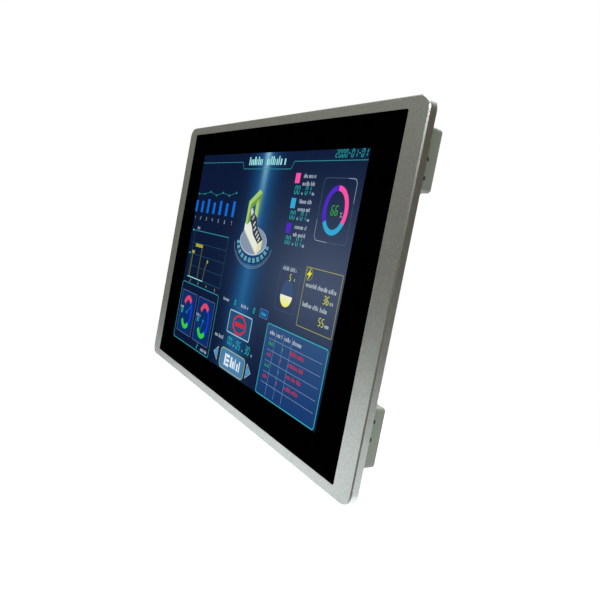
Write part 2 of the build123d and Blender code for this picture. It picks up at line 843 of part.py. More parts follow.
def serial_ports():
    """Two shells of drawn sheet, each with its flange behind the cover."""
    ports = []
    rim, back = cover_bottom - serial_stand, wall_top + serial_plate[2]
    for x in serial_x:
        lift = (board_rear, board_rear + serial_plate[1])
        flange = slab(around(x, serial_plate[0]), lift, (wall_top, back))
        port = flange + serial_outline(x, 0, rim, back) - serial_outline(x, serial_wall, rim - 1, back + 1)
        for screw_x in around(x, screwlock_spacing):
            port -= upright(screw_radius, wall_top - 1, back + 1, screw_x, serial_y)
        ports.append(port)
    return group(ports)


def serial_inserts():
    """The plastic block behind each flange, with the face that the pins stand on."""
    inserts = []
    back = wall_top + serial_plate[2]
    for x in serial_x:
        width, height, depth = serial_block
        block = slab(around(x, width), (board_rear, board_rear + height), (back, back + depth))
        insert = block + serial_outline(x, serial_wall, cover_bottom - serial_floor, back)
        for pin_x, pin_y in serial_pin_places(x):
            insert -= upright(contact_pin_radius, cover_bottom - 1, wall_top + pin_root, pin_x, pin_y)
        inserts.append(insert)
    return group(inserts)


def serial_pin_places(x):
    """A row of five and a row of four."""
    places = []
    for row, count in ((pin_row, 5), (-pin_row, 4)):
        start = x - (count - 1) / 2 * pin_pitch
        places += [(start + step * pin_pitch, serial_y + row) for step in range(count)]
    return places


def serial_pins():
    tip = cover_bottom - serial_stand + pin_stand
    places = [place for x in serial_x for place in serial_pin_places(x)]
    return group(upright(contact_pin_radius, tip, wall_top + pin_root, *place) for place in places)


def serial_screwlocks():
    """Hexagonal posts that a lead's screws go into."""
    posts = []
    hexagon = RegularPolygon(screwlock_flats / 2, 6, major_radius=False)
    low = cover_bottom - screwlock_stand
    for x in serial_x:
        for screw_x in around(x, screwlock_spacing):
            post = Pos(screw_x, serial_y, low) * extrude(hexagon, amount=screwlock_stand)
            post += upright(screw_radius, cover_bottom, wall_top + serial_plate[2], screw_x, serial_y)
            posts.append(post - upright(screwlock_bore, low - 1, cover_bottom - 1, screw_x, serial_y))
    return group(posts)


# ---- power terminal
def power_header():
    """Pin header that the power plug pushes into."""
    rear = board_rear + power_height + 2 * power_wall
    body = slab(around(power_x, power_width), (board_rear, rear), (cover_bottom, cover_bottom + header_depth))
    well = around(power_x, power_width - 2 * power_wall)
    body -= slab(well, (board_rear + power_wall, rear - power_wall), (cover_bottom - 1, plug_high + 1))
    for x in pole_places:
        body -= upright(contact_pin_radius, plug_high, plug_high + header_pin_root, x, power_y)
    return body


def header_pins():
    low, high = cover_bottom + header_pin_set_back, plug_high + header_pin_root
    return group(upright(contact_pin_radius, low, high, x, power_y) for x in pole_places)


def power_plug():
    """Plug with a wire entry below and a clamp screw at the rear of each pole."""
    body = slab(around(power_x, power_width - 2 * (power_wall + slip)), plug_ends, (plug_low, plug_high))
    for x in pole_places:
        body -= upright(plug_pin_bore, cover_bottom - 1, plug_high + 1, x, power_y)
        body -= upright(wire_radius, plug_low - 1, plug_low + wire_depth, x, power_y - wire_shift)
        well = (plug_ends[1] - plug_screw_length, plug_ends[1] + 1)
        body -= bar(plug_screw_radius + slip, *well, x, plug_low + plug_screw_rise)
    return body


def plug_screws():
    screws = []
    z, rear = plug_low + plug_screw_rise, plug_ends[1] - plug_screw_sink
    for x in pole_places:
        screw = bar(plug_screw_radius, plug_ends[1] - plug_screw_length, rear, x, z)
        screws.append(screw - slab(around(x, 4 * plug_screw_radius), (rear - 0.7, rear + 1), around(z, 0.6)))
    return group(screws)


# ---- switches
def reset_switch():
    """Small push switch: its case holds the button's foot."""
    depth = (board_rear, board_rear + reset_size[1])
    body = slab(around(reset_x, reset_size[0]), depth, (reset_low, reset_low + reset_size[2]))
    return body - upright(reset_radius + slip, reset_low - 1, reset_low + reset_well, reset_x, reset_y)


def reset_button():
    high = reset_low + reset_well - reset_travel - slip
    body = upright(reset_radius, cover_bottom + reset_set_back, high, reset_x, reset_y)
    return fillet(body.faces().sort_by(Axis.Z)[0].edges(), 0.3)


def switch_block():
    """Two-way slide switch for the start-up modes."""
    width, thick, height = switch_size
    body = slab(around(switch_x, width), (board_rear, board_rear + thick), (switch_low, switch_low + height))
    for row in lever_rows:
        reach = around(switch_y, lever_travel + lever_width + 2 * slip)
        slot_depth = (switch_low - 1, switch_low + slot_floor)
        body -= slab(around(switch_x + row, lever_width + 2 * slip), reach, slot_depth)
    return body


def switch_lever(row):
    """One lever, at the end of its slot that is nearer to the board."""
    near = switch_y - (lever_travel + lever_width) / 2
    low = switch_low - lever_stand
    body = slab(around(switch_x + row, lever_width), (near, near + lever_width), (low, low + lever_length))
    return fillet(body.faces().sort_by(Axis.Z)[0].edges(), 0.2)


# ---- rear cover
def bottom_hole(x, near, size):
    """A hole in the cover's bottom wall, with the gap round a socket that stands on y = near."""
    across = around(x, size[0] + 2 * socket_gap)
    depth = (near - socket_gap, near + size[1] + socket_gap)
    return slab(across, depth, (cover_bottom - 1, wall_top + socket_gap))


def drill_bottom(body):
    """Everything that the sockets and switches need in the cover's bottom wall."""
    for size, places in ((ethernet_size, ethernet_x), (usb_size, usb_x), (usb_device_size, [usb_device_x])):
        for x in places:
            body -= bottom_hole(x, board_rear, size)
    for x in serial_x:
        shell = (serial_shell[0] + 2 * serial_lean, serial_shell[1])
        body -= bottom_hole(x, serial_y - serial_shell[1] / 2, shell)
        for screw_x in around(x, screwlock_spacing):
            body -= upright(screw_radius, cover_bottom - 1, wall_top + 1, screw_x, serial_y)
    body -= bottom_hole(power_x, board_rear, (power_width, power_height + 2 * power_wall))
    body -= bottom_hole(switch_x, board_rear, switch_size)
    return body - upright(reset_hole, cover_bottom - 1, wall_top + 0.5, reset_x, reset_y)


def cut_vents(body):
    """A row of slots in the rear wall beside the door, and one in the top wall."""
    left = -cover_width / 2 + vent_margin
    for step in range(int((door_left - knuckle_radius - vent_margin / 2 - left) / vent_pitch)):
        x, z = left + step * vent_pitch, cover_height / 2 - vent_drop
        body -= plate(vent_width, vent_length, 0.49 * vent_width, cover_inner - 1, cover_rear + 1, x=x, z=z)
    count = int((cover_width - 4 * vent_margin) / vent_pitch)
    depth = (board_rear + top_vent_ends[0], board_rear + top_vent_ends[1])
    for step in range(count):
        x = (step - (count - 1) / 2) * vent_pitch
        body -= slab(around(x, vent_width), depth, around(cover_height / 2, 3 * cover_sheet))
    return body


def rear_cover():
    """Folded sheet box over the main board, with side flanges, vents and the holes for the sockets."""
    body = plate(cover_width, cover_height, cover_corner, housing_depth, cover_rear)
    body = fillet(body.faces().sort_by(Axis.Y)[-1].edges(), cover_edge)
    flange_size = (cover_width + 2 * cover_flange, cover_height - 2 * flange_short)
    body += plate(*flange_size, cover_corner, housing_depth, housing_depth + cover_sheet)
    inner_size = (cover_width - 2 * cover_sheet, cover_height - 2 * cover_sheet)
    body -= plate(*inner_size, cover_corner - cover_sheet, housing_depth - 1, cover_inner)
    for x, z in cover_screw_places:
        body -= bar(screw_hole, housing_depth - 1, housing_depth + cover_sheet + 1, x, z)
    for x, z in vesa_places:
        body -= bar(vesa_shank, cover_inner - 1, cover_rear + 1, x, z)
    door_hole = (door_width - 2 * door_lap, door_height - 2 * door_lap, door_corner)
    body -= plate(*door_hole, cover_inner - 1, cover_rear + 1, x=door_x, z=door_z)
    body = drill_bottom(cut_vents(body))
    return body + hinge_ears() - hinge_bar(pin_radius, door_left - 1, door_right + 1)


def vesa_nuts():
    """Press nuts set into the cover's rear face."""
    nuts = []
    for x, z in vesa_places:
        nut = bar(vesa_shank, cover_inner - vesa_shank_height, cover_rear, x, z)
        nut += bar(vesa_flange, cover_inner - vesa_flange_height, cover_inner, x, z)
        nuts.append(nut - bar(vesa_hole, cover_inner - vesa_shank_height - 1, cover_rear + 1, x, z))
    return group(nuts)


def cover_screws():
    return group(pan_screw(floor_front, housing_depth + cover_sheet, x, z) for x, z in cover_screw_places)


# ---- service door and its hinge
def hinge_bar(radius, low, high):
    """A round bar along the door's hinge line."""
    return cross_bar(radius, high - low, (low + high) / 2, hinge_y, hinge_z)


def hinge_ears():
    """The cover's two knuckles, one at each end of the hinge."""
    ears = Part()
    for ends in ((door_left, door_left + knuckle_length), (door_right - knuckle_length, door_right)):
        ears += hinge_bar(knuckle_radius, *ends)
        ears += slab(ends, (cover_inner, hinge_y), (hinge_z - 0.4 * knuckle_radius, hinge_z + knuckle_radius))
    return ears


def service_door():
    """Flat door over the card and the clock's cell, curled round the pin at its top edge."""
    outer = door_front + door_sheet
    body = plate(door_width, door_height, door_corner, door_front, outer, x=door_x, z=door_z)
    ends = (door_left + knuckle_length + knuckle_gap, door_right - knuckle_length - knuckle_gap)
    body += hinge_bar(knuckle_radius, *ends)
    leaf_top = door_z + door_height / 2
    body += slab(ends, (door_front, door_front + door_sheet), (leaf_top - door_corner, hinge_z))
    notch_low = door_z - door_height / 2
    round_end = 0.49 * finger_notch[1]
    body -= plate(*finger_notch, round_end, door_front - 1, outer + 1, x=door_x, z=notch_low)
    return body - hinge_bar(pin_radius + pin_clearance, ends[0] - 1, ends[1] + 1)


def hinge_pin():
    return hinge_bar(pin_radius, door_left - pin_overhang, door_right + pin_overhang)


# ---- every piece, under its name
makers = [front_bezel, panel_gasket, cover_glass, glass_tape, touch_sensor, foam_frame]
makers += [module_frame, lcd_cell, light_guide, module_tray, module_brackets, module_screws]
makers += [bezel_posts, housing_screws, rear_housing, earth_stud, earth_nut, earth_washer]
makers += [touch_controller, touch_tail, lcd_cable, board_standoffs, board_screws, main_board]
makers += [processor, thermal_pad, heat_sink, memory_chips, power_coils, buzzer]
makers += [battery_holder, coin_cell, card_socket, memory_card, ethernet_sockets, usb_sockets]
makers += [ethernet_contacts, usb_device_socket, usb_inserts, serial_ports, serial_inserts, serial_pins]
makers += [serial_screwlocks, power_header, header_pins, power_plug, plug_screws]
makers += [reset_switch, reset_button, switch_block, rear_cover, vesa_nuts, cover_screws]
makers += [service_door, hinge_pin]
pieces = {make.__name__: make() for make in makers}
for number, row in enumerate(lever_rows, 1):
    pieces[f"switch_lever_{number}"] = switch_lever(row)

os.makedirs("parts", exist_ok=True)
for name, shape in pieces.items():
    export_step(shape, f"parts/{name}.step")
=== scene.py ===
import json
import math

import bpy
import numpy as np
from mathutils import Matrix, Vector


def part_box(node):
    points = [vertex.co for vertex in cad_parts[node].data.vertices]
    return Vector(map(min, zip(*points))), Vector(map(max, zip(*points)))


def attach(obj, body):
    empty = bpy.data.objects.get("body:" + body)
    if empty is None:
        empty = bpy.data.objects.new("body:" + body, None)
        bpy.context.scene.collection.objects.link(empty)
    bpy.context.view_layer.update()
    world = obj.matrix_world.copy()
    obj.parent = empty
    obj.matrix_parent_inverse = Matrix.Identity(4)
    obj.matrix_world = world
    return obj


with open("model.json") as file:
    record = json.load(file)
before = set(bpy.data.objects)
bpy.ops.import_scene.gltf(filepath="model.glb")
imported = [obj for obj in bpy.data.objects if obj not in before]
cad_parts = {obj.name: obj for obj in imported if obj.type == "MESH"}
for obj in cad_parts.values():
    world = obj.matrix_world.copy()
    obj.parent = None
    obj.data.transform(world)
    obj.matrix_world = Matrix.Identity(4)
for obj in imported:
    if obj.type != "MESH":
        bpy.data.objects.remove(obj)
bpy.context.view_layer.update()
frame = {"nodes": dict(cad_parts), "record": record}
record_slots = {part["node"]: part["material_slot"] for part in frame["record"]["subparts"]}

# ---- Eye and room ----
# The eye stands half a metre to the right front of the panel, just above its middle, and is
# tipped to one side. The room is white and dim, with a pale floor that is brightly lit.

eye_place = (0.46657, -0.27515, 0.03434)
eye_azimuth = math.radians(53.969)
eye_elevation = math.radians(3.622)
eye_tip = math.radians(10.89)
lens_length = 31.733
floor_drop = 0.36  # from the panel's middle
floor_reach = 1.3
floor_edge = 0.7  # where the floor begins to fade into the white room
front_edge, front_reach = 0.05, 0.45  # the same, towards the eye
right_edge, right_reach = 0.5, 1.45  # the same, behind the panel's right side


def linear(colour):
    """An sRGB hex colour as linear red, green, blue and 1. Each part is c / 12.92 where c is
    small, and ((c + 0.055) / 1.055) to the power 2.4 elsewhere."""
    parts = np.array([int(colour[i : i + 2], 16) for i in (1, 3, 5)]) / 255
    parts = np.where(parts <= 0.04045, parts / 12.92, ((parts + 0.055) / 1.055) ** 2.4)
    return (*parts.tolist(), 1.0)


def add(tree, kind, inputs=None, **settings):
    """Adds a shader node. Its inputs are plain values, or outputs of other nodes to link."""
    made = tree.nodes.new("ShaderNode" + kind)
    for name, value in settings.items():
        setattr(made, name, value)
    for name, value in (inputs or {}).items():
        if isinstance(value, bpy.types.NodeSocket):
            tree.links.new(value, made.inputs[name])
        else:
            made.inputs[name].default_value = value
    return made


def new_material(name):
    made = bpy.data.materials.new(name)
    made.use_nodes = True
    made.node_tree.nodes.clear()
    return made, made.node_tree


def shade(tree, shader):
    """Gives a material or the room the shader that it shows."""
    kind = "OutputWorld" if tree.id_data.name == "room" else "OutputMaterial"
    add(tree, kind, {"Surface": shader.outputs[0]})


def blend_colours(tree, share, first, second):
    """A colour output that goes from the first colour to the second with share."""
    return add(tree, "Mix", {0: share, 6: first, 7: second}, data_type="RGBA").outputs[2]


def soft_lamp(name, place, aim, across, power, colour):
    light = bpy.data.lights.new(name, "AREA")
    light.shape = "DISK"
    light.size = across
    light.energy = power
    light.color = linear(colour)[:3]
    lamp = bpy.data.objects.new(name, light)
    towards = Vector(aim) - Vector(place)
    turn = towards.to_track_quat("-Z", "Y").to_matrix().to_4x4()
    lamp.matrix_world = Matrix.Translation(place) @ turn
    bpy.context.scene.collection.objects.link(lamp)


lens = bpy.data.cameras.new("eye")
lens.lens = lens_length
lens.shift_x = -0.00583
lens.shift_y = -0.0425
lens.clip_start = 0.01
eye = bpy.data.objects.new("eye", lens)
stand = Matrix.Rotation(eye_azimuth, 4, "Z") @ Matrix.Rotation(math.pi / 2 - eye_elevation, 4, "X")
eye.matrix_world = Matrix.Translation(eye_place) @ stand @ Matrix.Rotation(eye_tip, 4, "Z")
bpy.context.scene.collection.objects.link(eye)
bpy.context.scene.camera = eye
bpy.context.scene.view_settings.view_transform = "Standard"

room = bpy.data.worlds.new("room")
room.use_nodes = True
tree = room.node_tree
tree.nodes.clear()
way = add(tree, "TexCoord").outputs["Generated"]
behind = add(tree, "VectorMath", {0: way, 1: (0.8, 0.6, 0)}, operation="DOT_PRODUCT").outputs["Value"]
behind = add(tree, "MapRange", {"Value": behind, "From Min": 0.1, "From Max": 0.8}).outputs[0]
height = add(tree, "SeparateXYZ", {0: way}).outputs["Z"]
height = add(tree, "MapRange", {"Value": height, "From Min": 0.0, "From Max": 0.5}).outputs[0]
walls = blend_colours(tree, height, linear("#6b6962"), linear("#a6a69c"))
walls = blend_colours(tree, behind, walls, linear("#4f4736"))
dim = add(tree, "Background", {"Color": walls, "Strength": 1.0})
white = add(tree, "Background", {"Color": linear("#ffffff"), "Strength": 1.0})
seen = add(tree, "LightPath").outputs["Is Camera Ray"]
shade(tree, add(tree, "MixShader", {"Fac": seen, 1: dim.outputs[0], 2: white.outputs[0]}))
bpy.context.scene.world = room

floor_paint, tree = new_material("pale_floor_paint")
place = add(tree, "TexCoord").outputs["Object"]
flat_place = add(tree, "VectorMath", {0: place, 1: (1, 1, 0)}, operation="MULTIPLY").outputs[0]
away = add(tree, "VectorMath", {0: flat_place}, operation="LENGTH").outputs["Value"]
fade = {"Value": away, "From Min": floor_edge, "From Max": floor_reach}
fade = add(tree, "MapRange", fade, interpolation_type="SMOOTHSTEP").outputs[0]
for way, start, end in (
    ((0.8, -0.6, 0), front_edge, front_reach),
    ((0.8, 0.6, 0), right_edge, right_reach),
):
    along = add(tree, "VectorMath", {0: place, 1: way}, operation="DOT_PRODUCT").outputs["Value"]
    along = {"Value": along, "From Min": start, "From Max": end}
    along = add(tree, "MapRange", along, interpolation_type="SMOOTHSTEP").outputs[0]
    fade = add(tree, "Math", {0: fade, 1: along}, operation="MAXIMUM").outputs[0]
paint = add(tree, "BsdfPrincipled", {"Base Color": linear("#f2f3f4"), "Roughness": 0.9})
clear = add(tree, "BsdfTransparent")
shade(tree, add(tree, "MixShader", {"Fac": fade, 1: paint.outputs[0], 2: clear.outputs[0]}))
floor_mesh = bpy.data.meshes.new("floor")
ends = np.array([(-1, -1), (1, -1), (1, 1), (-1, 1)]) * floor_reach
floor_mesh.from_pydata([(x, y, -floor_drop) for x, y in ends.tolist()], [], [(0, 1, 2, 3)])
floor_mesh.materials.append(floor_paint)
floor = bpy.data.objects.new("floor", floor_mesh)
bpy.context.scene.collection.objects.link(floor)

soft_lamp("lamp_overhead", (0.1, 0.2, 1.7), (0, 0, -0.3), 1.6, 58, "#f4fcff")
soft_lamp("lamp_behind_eye", (1.3, -1.5, 1.1), (0, 0, 0), 0.7, 10, "#ffffff")
soft_lamp("lamp_low_right", (0.62, 0.0, -0.45), (0.2, 0.0, -0.12), 0.35, 2.2, "#f0fbff")
soft_lamp("lamp_behind_panel", (-0.9, 1.8, 1.3), (0, 0, 0), 1.2, 18, "#f8fbff")

# ---- Front bezel ----
# A milled aluminium frame, blasted with fine grit and clear anodised. The grit leaves an
# even pale sparkle that hides tool marks, and the thin chamfer round its edge is left bright.


chamfer_lean = math.sqrt(0.5)  # how far its face turns to the front
chamfer_rough = 0.27


def finish(piece_slots, material):
    """Gives every CAD node of the named slots its material."""
    for node, slot in record_slots.items():
        if slot in piece_slots:
            mesh = frame["nodes"][node].data
            mesh.materials.clear()
            mesh.materials.append(material)


def patterned(name, colours, rough, size, depth=0.0, stretch=(1, 1, 1), **plain):
    """A surface whose colour and roughness drift between two values, and whose height rises by
    depth, all with one noise. size is the width of a patch and depth its height, both in mm."""
    made, tree = new_material(name)
    place = add(tree, "TexCoord").outputs["Object"]
    place = add(tree, "Mapping", {"Vector": place, "Scale": stretch}).outputs[0]
    noise = {"Vector": place, "Scale": 1000 / size, "Detail": 3.0, "Roughness": 0.6}
    noise = add(tree, "TexNoise", noise).outputs["Fac"]
    span = {"Value": noise, "From Min": 0.3, "From Max": 0.7}
    share = add(tree, "MapRange", span).outputs[0]
    shown = blend_colours(tree, share, *map(linear, colours))
    span = {"Value": share, "To Min": rough[0], "To Max": rough[1]}
    inputs = {"Base Color": shown, "Roughness": add(tree, "MapRange", span).outputs[0], **plain}
    if depth:
        bump = {"Height": noise, "Distance": depth / 1000, "Strength": 1.0}
        inputs["Normal"] = add(tree, "Bump", bump).outputs[0]
    shade(tree, add(tree, "BsdfPrincipled", inputs))
    return made


blasted = patterned(
    "blasted_anodised_aluminium",
    ("#bcbebb", "#dfe1de"),
    (0.36, 0.46),
    size=0.9,  # the grit's dimples are finer, and are drawn at a size that shows
    depth=0.02,
    Metallic=1.0,
)
tree = blasted.node_tree
surface = next(node for node in tree.nodes if node.type == "BSDF_PRINCIPLED")
lean = add(tree, "SeparateXYZ", {0: add(tree, "TexCoord").outputs["Normal"]}).outputs["Y"]
lean = add(tree, "Math", {0: lean}, operation="ABSOLUTE").outputs[0]
cut = add(tree, "Math", {0: lean, 1: chamfer_lean, 2: 0.1}, operation="COMPARE").outputs[0]
rough = surface.inputs["Roughness"].links[0].from_socket
rough = {"Value": cut, "To Min": rough, "To Max": chamfer_rough}
tree.links.new(add(tree, "MapRange", rough).outputs[0], surface.inputs["Roughness"])
finish({"bezel_aluminium"}, blasted)

# ---- Cover glass ----
# A sheet of float glass with a coating that takes away its shine, bonded into the bezel
# with a ring of black foam tape. The border is printed in black on its rear face, and the
# print runs on round the ground edge, so that no metal shows through it.

print_window = (0.3046, 0.2286)  # a hair wider than the lit picture
window_corner = 0.0006
glass_corner = 0.0016
print_gap = 0.00006  # the print lies this far inside the rear face


def outline(width, height, corner, place=(0.0, 0.0), steps=9):
    """Points on a rectangle with round corners, once round: each corner is a quarter circle."""
    turn = np.linspace(0, np.pi / 2, steps)
    quarters = [turn + quarter * np.pi / 2 for quarter in range(4)]
    inside = np.array([width / 2 - corner, height / 2 - corner])
    signs = ((1, 1), (-1, 1), (-1, -1), (1, -1))
    rounds = [
        inside * sign + corner * np.stack([np.cos(q), np.sin(q)], axis=1)
        for q, sign in zip(quarters, signs)
    ]
    return np.concatenate(rounds) + place


def mesh_object(name, points, faces, materials, material_index=None):
    mesh = bpy.data.meshes.new(name)
    mesh.from_pydata(points.tolist(), [], faces.tolist())
    for material in materials:
        mesh.materials.append(material)
    if material_index is not None:
        mesh.polygons.foreach_set("material_index", material_index)
    made = bpy.data.objects.new(name, mesh)
    bpy.context.scene.collection.objects.link(made)
    return made


glass, tree = new_material("coated_float_glass")
shade(tree, add(tree, "BsdfRefraction", {"Color": linear("#fbfdfc"), "Roughness": 0.0, "IOR": 1.5}))
finish({"cover_glass"}, glass)
frame["nodes"]["cover_glass"].visible_shadow = False

black_print = patterned(
    "black_ceramic_print", ("#010101", "#020202"), (0.5, 0.6), size=0.4, **{"Specular IOR Level": 0.0})
glass_low, glass_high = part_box("cover_glass")
print_y = glass_high.y - print_gap
glass_size = np.array([glass_high.x - glass_low.x, glass_high.z - glass_low.z])
outer = outline(*(glass_size - 2 * print_gap), glass_corner - print_gap)
inner = outline(*print_window, window_corner)
loops = [(outer, glass_low.y + print_gap), (outer, print_y), (inner, print_y)]
points = np.concatenate([
    np.stack([xz[:, 0], np.full(len(xz), y), xz[:, 1]], axis=1) for xz, y in loops
])
here = np.arange(len(outer))
after = (here + 1) % len(outer)
faces = np.stack([here, here + len(outer), after + len(outer), after], axis=1)[:, ::-1]
faces = np.concatenate([faces, faces + len(outer)])
glass_print = mesh_object("glass_print", points, faces, [black_print])
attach(glass_print, "panel")

finish({"black_tape"}, patterned("acrylic_foam_tape", ("#0c0c0d", "#161617"), (0.7, 0.9), size=0.5))

# ---- Touch sensor ----
# Two sheets with a clear conducting layer between, which takes a little of the light and
# shows a faint shine. It lies against the glass.

sensor, tree = new_material("clear_touch_laminate")
clear = add(tree, "BsdfTransparent", {"Color": linear("#fbfcfc")})
shine = add(tree, "BsdfGlossy", {"Color": linear("#d8e4ea"), "Roughness": 0.1})
shade(tree, add(tree, "MixShader", {"Fac": 0.004, 1: clear.outputs[0], 2: shine.outputs[0]}))
finish({"sensor_glass"}, sensor)
frame["nodes"]["touch_sensor"].visible_shadow = False

# ---- Display module ----
# A liquid crystal cell on an acrylic light guide, in a folded steel frame and a white
# moulded pan. Black foam keeps dust out between the frame and the sensor.

finish({"module_steel"}, patterned(
    "folded_stainless_sheet", ("#a9aaa8", "#bcbdbb"), (0.28, 0.4), size=0.25, depth=0.004,
    stretch=(0.03, 1, 1), Metallic=1.0))
finish({"lcd_cell"}, patterned("dark_polariser_film", ("#04060b", "#070a12"), (0.25, 0.32), size=0.6))
finish({"acrylic_guide"}, patterned(
    "cast_acrylic", ("#e6ecee", "#f3f7f8"), (0.1, 0.2), size=2.0, IOR=1.49))
finish({"module_plastic"}, patterned(
    "white_polycarbonate", ("#d3d3cd", "#dededa"), (0.45, 0.6), size=0.4, depth=0.01))
finish({"black_foam"}, patterned(
    "open_cell_foam", ("#0d0d0e", "#1d1d1f"), (0.85, 1.0), size=0.3, depth=0.1))
finish({"gasket_rubber"}, patterned(
    "sponge_rubber_seal", ("#111112", "#1b1b1c"), (0.6, 0.8), size=0.3, depth=0.03))

# ---- The picture: its ground ----
# The lit cell shows a dark blue ground, paler and greyer towards the right, with a beam of
# light down the middle: a grid of coloured points. The clear bond under the glass brings the
# picture up to the glass's rear face, so it is drawn there.

picture_size = np.array([304.1, 228.1])  # mm, the lit part of the cell
picture_step = 0.05  # mm between one layer of the picture and the next
cell_low, cell_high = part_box("lcd_cell")
picture_middle = ((cell_low.x + cell_high.x) / 2, (cell_low.z + cell_high.z) / 2)


def on_picture(points, layer):
    """Turns millimetres right and down from the picture's top left corner into places in the
    frame. Each layer lies a step nearer to the eye than the one under it."""
    x = picture_middle[0] + (points[:, 0] - picture_size[0] / 2) / 1000
    z = picture_middle[1] - (points[:, 1] - picture_size[1] / 2) / 1000
    y = np.full(len(points), print_y - (layer + 1) * picture_step / 1000)
    return np.stack([x, y, z], axis=1)


def mixed(low, high, share):
    """Two hex colours mixed by a share for each point, as sRGB parts."""
    low, high = (np.array([int(c[i : i + 2], 16) for i in (1, 3, 5)]) / 255 for c in (low, high))
    return low + (high - low) * share[:, None]


def glowing_points(name, points, faces, colours):
    """A flat piece that shines with the sRGB colour of each of its points."""
    made = mesh_object(name, points, faces, [shaded_light])
    glow = made.data.attributes.new("glow", "FLOAT_COLOR", "POINT")
    shown = np.where(colours <= 0.04045, colours / 12.92, ((colours + 0.055) / 1.055) ** 2.4)
    glow.data.foreach_set("color", np.c_[shown, np.ones(len(shown))].ravel())
    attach(made, "panel")
    return made


shaded_light, tree = new_material("lit_pixels_shaded")
colour = add(tree, "Attribute", attribute_name="glow").outputs["Color"]
shade(tree, add(tree, "Emission", {"Color": colour, "Strength": 1.0}))
shaded_light.cycles.emission_sampling = "NONE"

columns, rows = 161, 97
across, down = np.meshgrid(np.linspace(0, 1, columns), np.linspace(0, 1, rows))
across, down = across.ravel(), down.ravel()
haze = np.exp(-(((across - 0.93) / 0.42) ** 2) - ((down - 0.5) / 0.33) ** 2)
ground = mixed("#0d1a38", "#46526a", haze)
beam = 0.8 * np.exp(-(((across - 0.502) / 0.078) ** 2))
ground += (mixed("#1f6098", "#1f6098", beam) - ground) * beam[:, None]
core = 0.85 * np.exp(-(((across - 0.502) / 0.021) ** 2)) * np.exp(-down / 0.25)
ground += (mixed("#9fccd8", "#9fccd8", core) - ground) * core[:, None]
here = (np.arange(rows - 1)[:, None] * columns + np.arange(columns - 1)).ravel()
faces = np.stack([here, here + columns, here + columns + 1, here + 1], axis=1)
points = on_picture(np.stack([across, down], axis=1) * picture_size, 0)
glowing_points("picture_ground", points, faces, ground)

# ---- The picture: header ----
# A teal rule steps down round the title. The title is plain blocks instead of letters, and a
# row of seven-stroke figures stands at the right.


def lit(name, colour):
    """A part of the picture that shines with one colour."""
    made, tree = new_material("lit_" + name)
    shade(tree, add(tree, "Emission", {"Color": linear(colour), "Strength": 1.0}))
    made.cycles.emission_sampling = "NONE"
    return made


def block(left, top, width, height):
    """A rectangle: two lines of two points."""
    x = np.array([left, left + width])
    return np.stack([np.stack([x, np.full(2, y)], axis=1) for y in (top, top + height)])


def stroke(points, width, closed=False):
    """A line of even width. Each point is moved half the width to both sides, along the
    bisector of its two runs, divided by the cosine of half the turn."""
    points = np.asarray(points, float)
    if closed:
        points = np.vstack([points, points[:1]])
    run = np.diff(points, axis=0)
    run = run / np.linalg.norm(run, axis=1, keepdims=True)
    before = np.vstack([run[-1:] if closed else run[:1], run])
    after = np.vstack([run, run[:1] if closed else run[-1:]])
    middle = before + after
    middle = middle / np.linalg.norm(middle, axis=1, keepdims=True)
    middle = middle / np.sum(middle * before, axis=1, keepdims=True)
    aside = np.stack([middle[:, 1], -middle[:, 0]], axis=1) * width / 2
    return np.stack([points - aside, points + aside])


def greeked(left, right, top, height, seed=1):
    """Plain upright blocks in place of letters, in words of three to eight."""
    draw = np.random.default_rng(seed)
    pitch = 0.42 * height
    count = max(1, int((right - left) / pitch))
    gaps = np.cumsum(draw.integers(4, 10, count))
    tall = draw.random(count) < 0.3
    wide = draw.uniform(0.4, 0.8, count) * pitch
    share = np.where(tall, 1, 0.7)  # of the height that each block takes, from its foot
    return [
        block(left + i * pitch, top + (0 if tall[i] else 0.3 * height), wide[i], share[i] * height)
        for i in range(count)
        if i not in gaps
    ]


figure_strokes = {
    "a": ((0, 0), (1, 0)), "b": ((1, 0), (1, 1)), "c": ((1, 1), (1, 2)), "d": ((0, 2), (1, 2)),
    "e": ((0, 1), (0, 2)), "f": ((0, 0), (0, 1)), "g": ((0, 1), (1, 1)),
}
strokes_used = "abcdef bc abdeg abcdg bcfg acdfg acdefg abc abcdefg abcdfg g"
figures = dict(zip("0123456789-", strokes_used.split(" ")))


def readout(text, left, top, height, weight=0.11):
    """Seven-stroke figures that lean by a tenth of their height."""
    shapes = []
    for i, character in enumerate(text):
        for part in figures[character]:
            ends = np.array(figure_strokes[part], float)
            ends = ends + (ends[::-1] - ends) * 0.12
            x = left + (i * 0.66 + ends[:, 0] * 0.4 + (2 - ends[:, 1]) * 0.05) * height
            line = np.stack([x, top + ends[:, 1] * height / 2], axis=1)
            shapes.append(stroke(line, weight * height))
    return shapes


def picture_piece(name, rows):
    """One flat piece of the picture, from rows of ink, layer and shapes. A shape is a grid of
    two lines of points, and its faces are the quads between them, turned to face the eye."""
    points, faces, inks, ink_of_face, count = [], [], [], [], 0
    for ink, layer, shapes in rows:
        if ink not in inks:
            inks.append(ink)
        for shape in shapes:
            length = shape.shape[1]
            here = np.arange(length - 1)
            quads = np.stack([here, here + 1, here + 1 + length, here + length], axis=1)
            flat = shape.reshape(-1, 2)
            corner = flat[quads]
            turned = np.roll(corner, -1, axis=1)
            area = np.sum(corner[..., 0] * turned[..., 1] - turned[..., 0] * corner[..., 1], axis=1)
            quads = np.where(area[:, None] > 0, quads[:, ::-1], quads)
            points.append(on_picture(flat, layer))
            faces.append(quads + count)
            ink_of_face += [inks.index(ink)] * len(quads)
            count += len(flat)
    made = mesh_object(name, np.concatenate(points), np.concatenate(faces), inks, ink_of_face)
    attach(made, "panel")
    return made


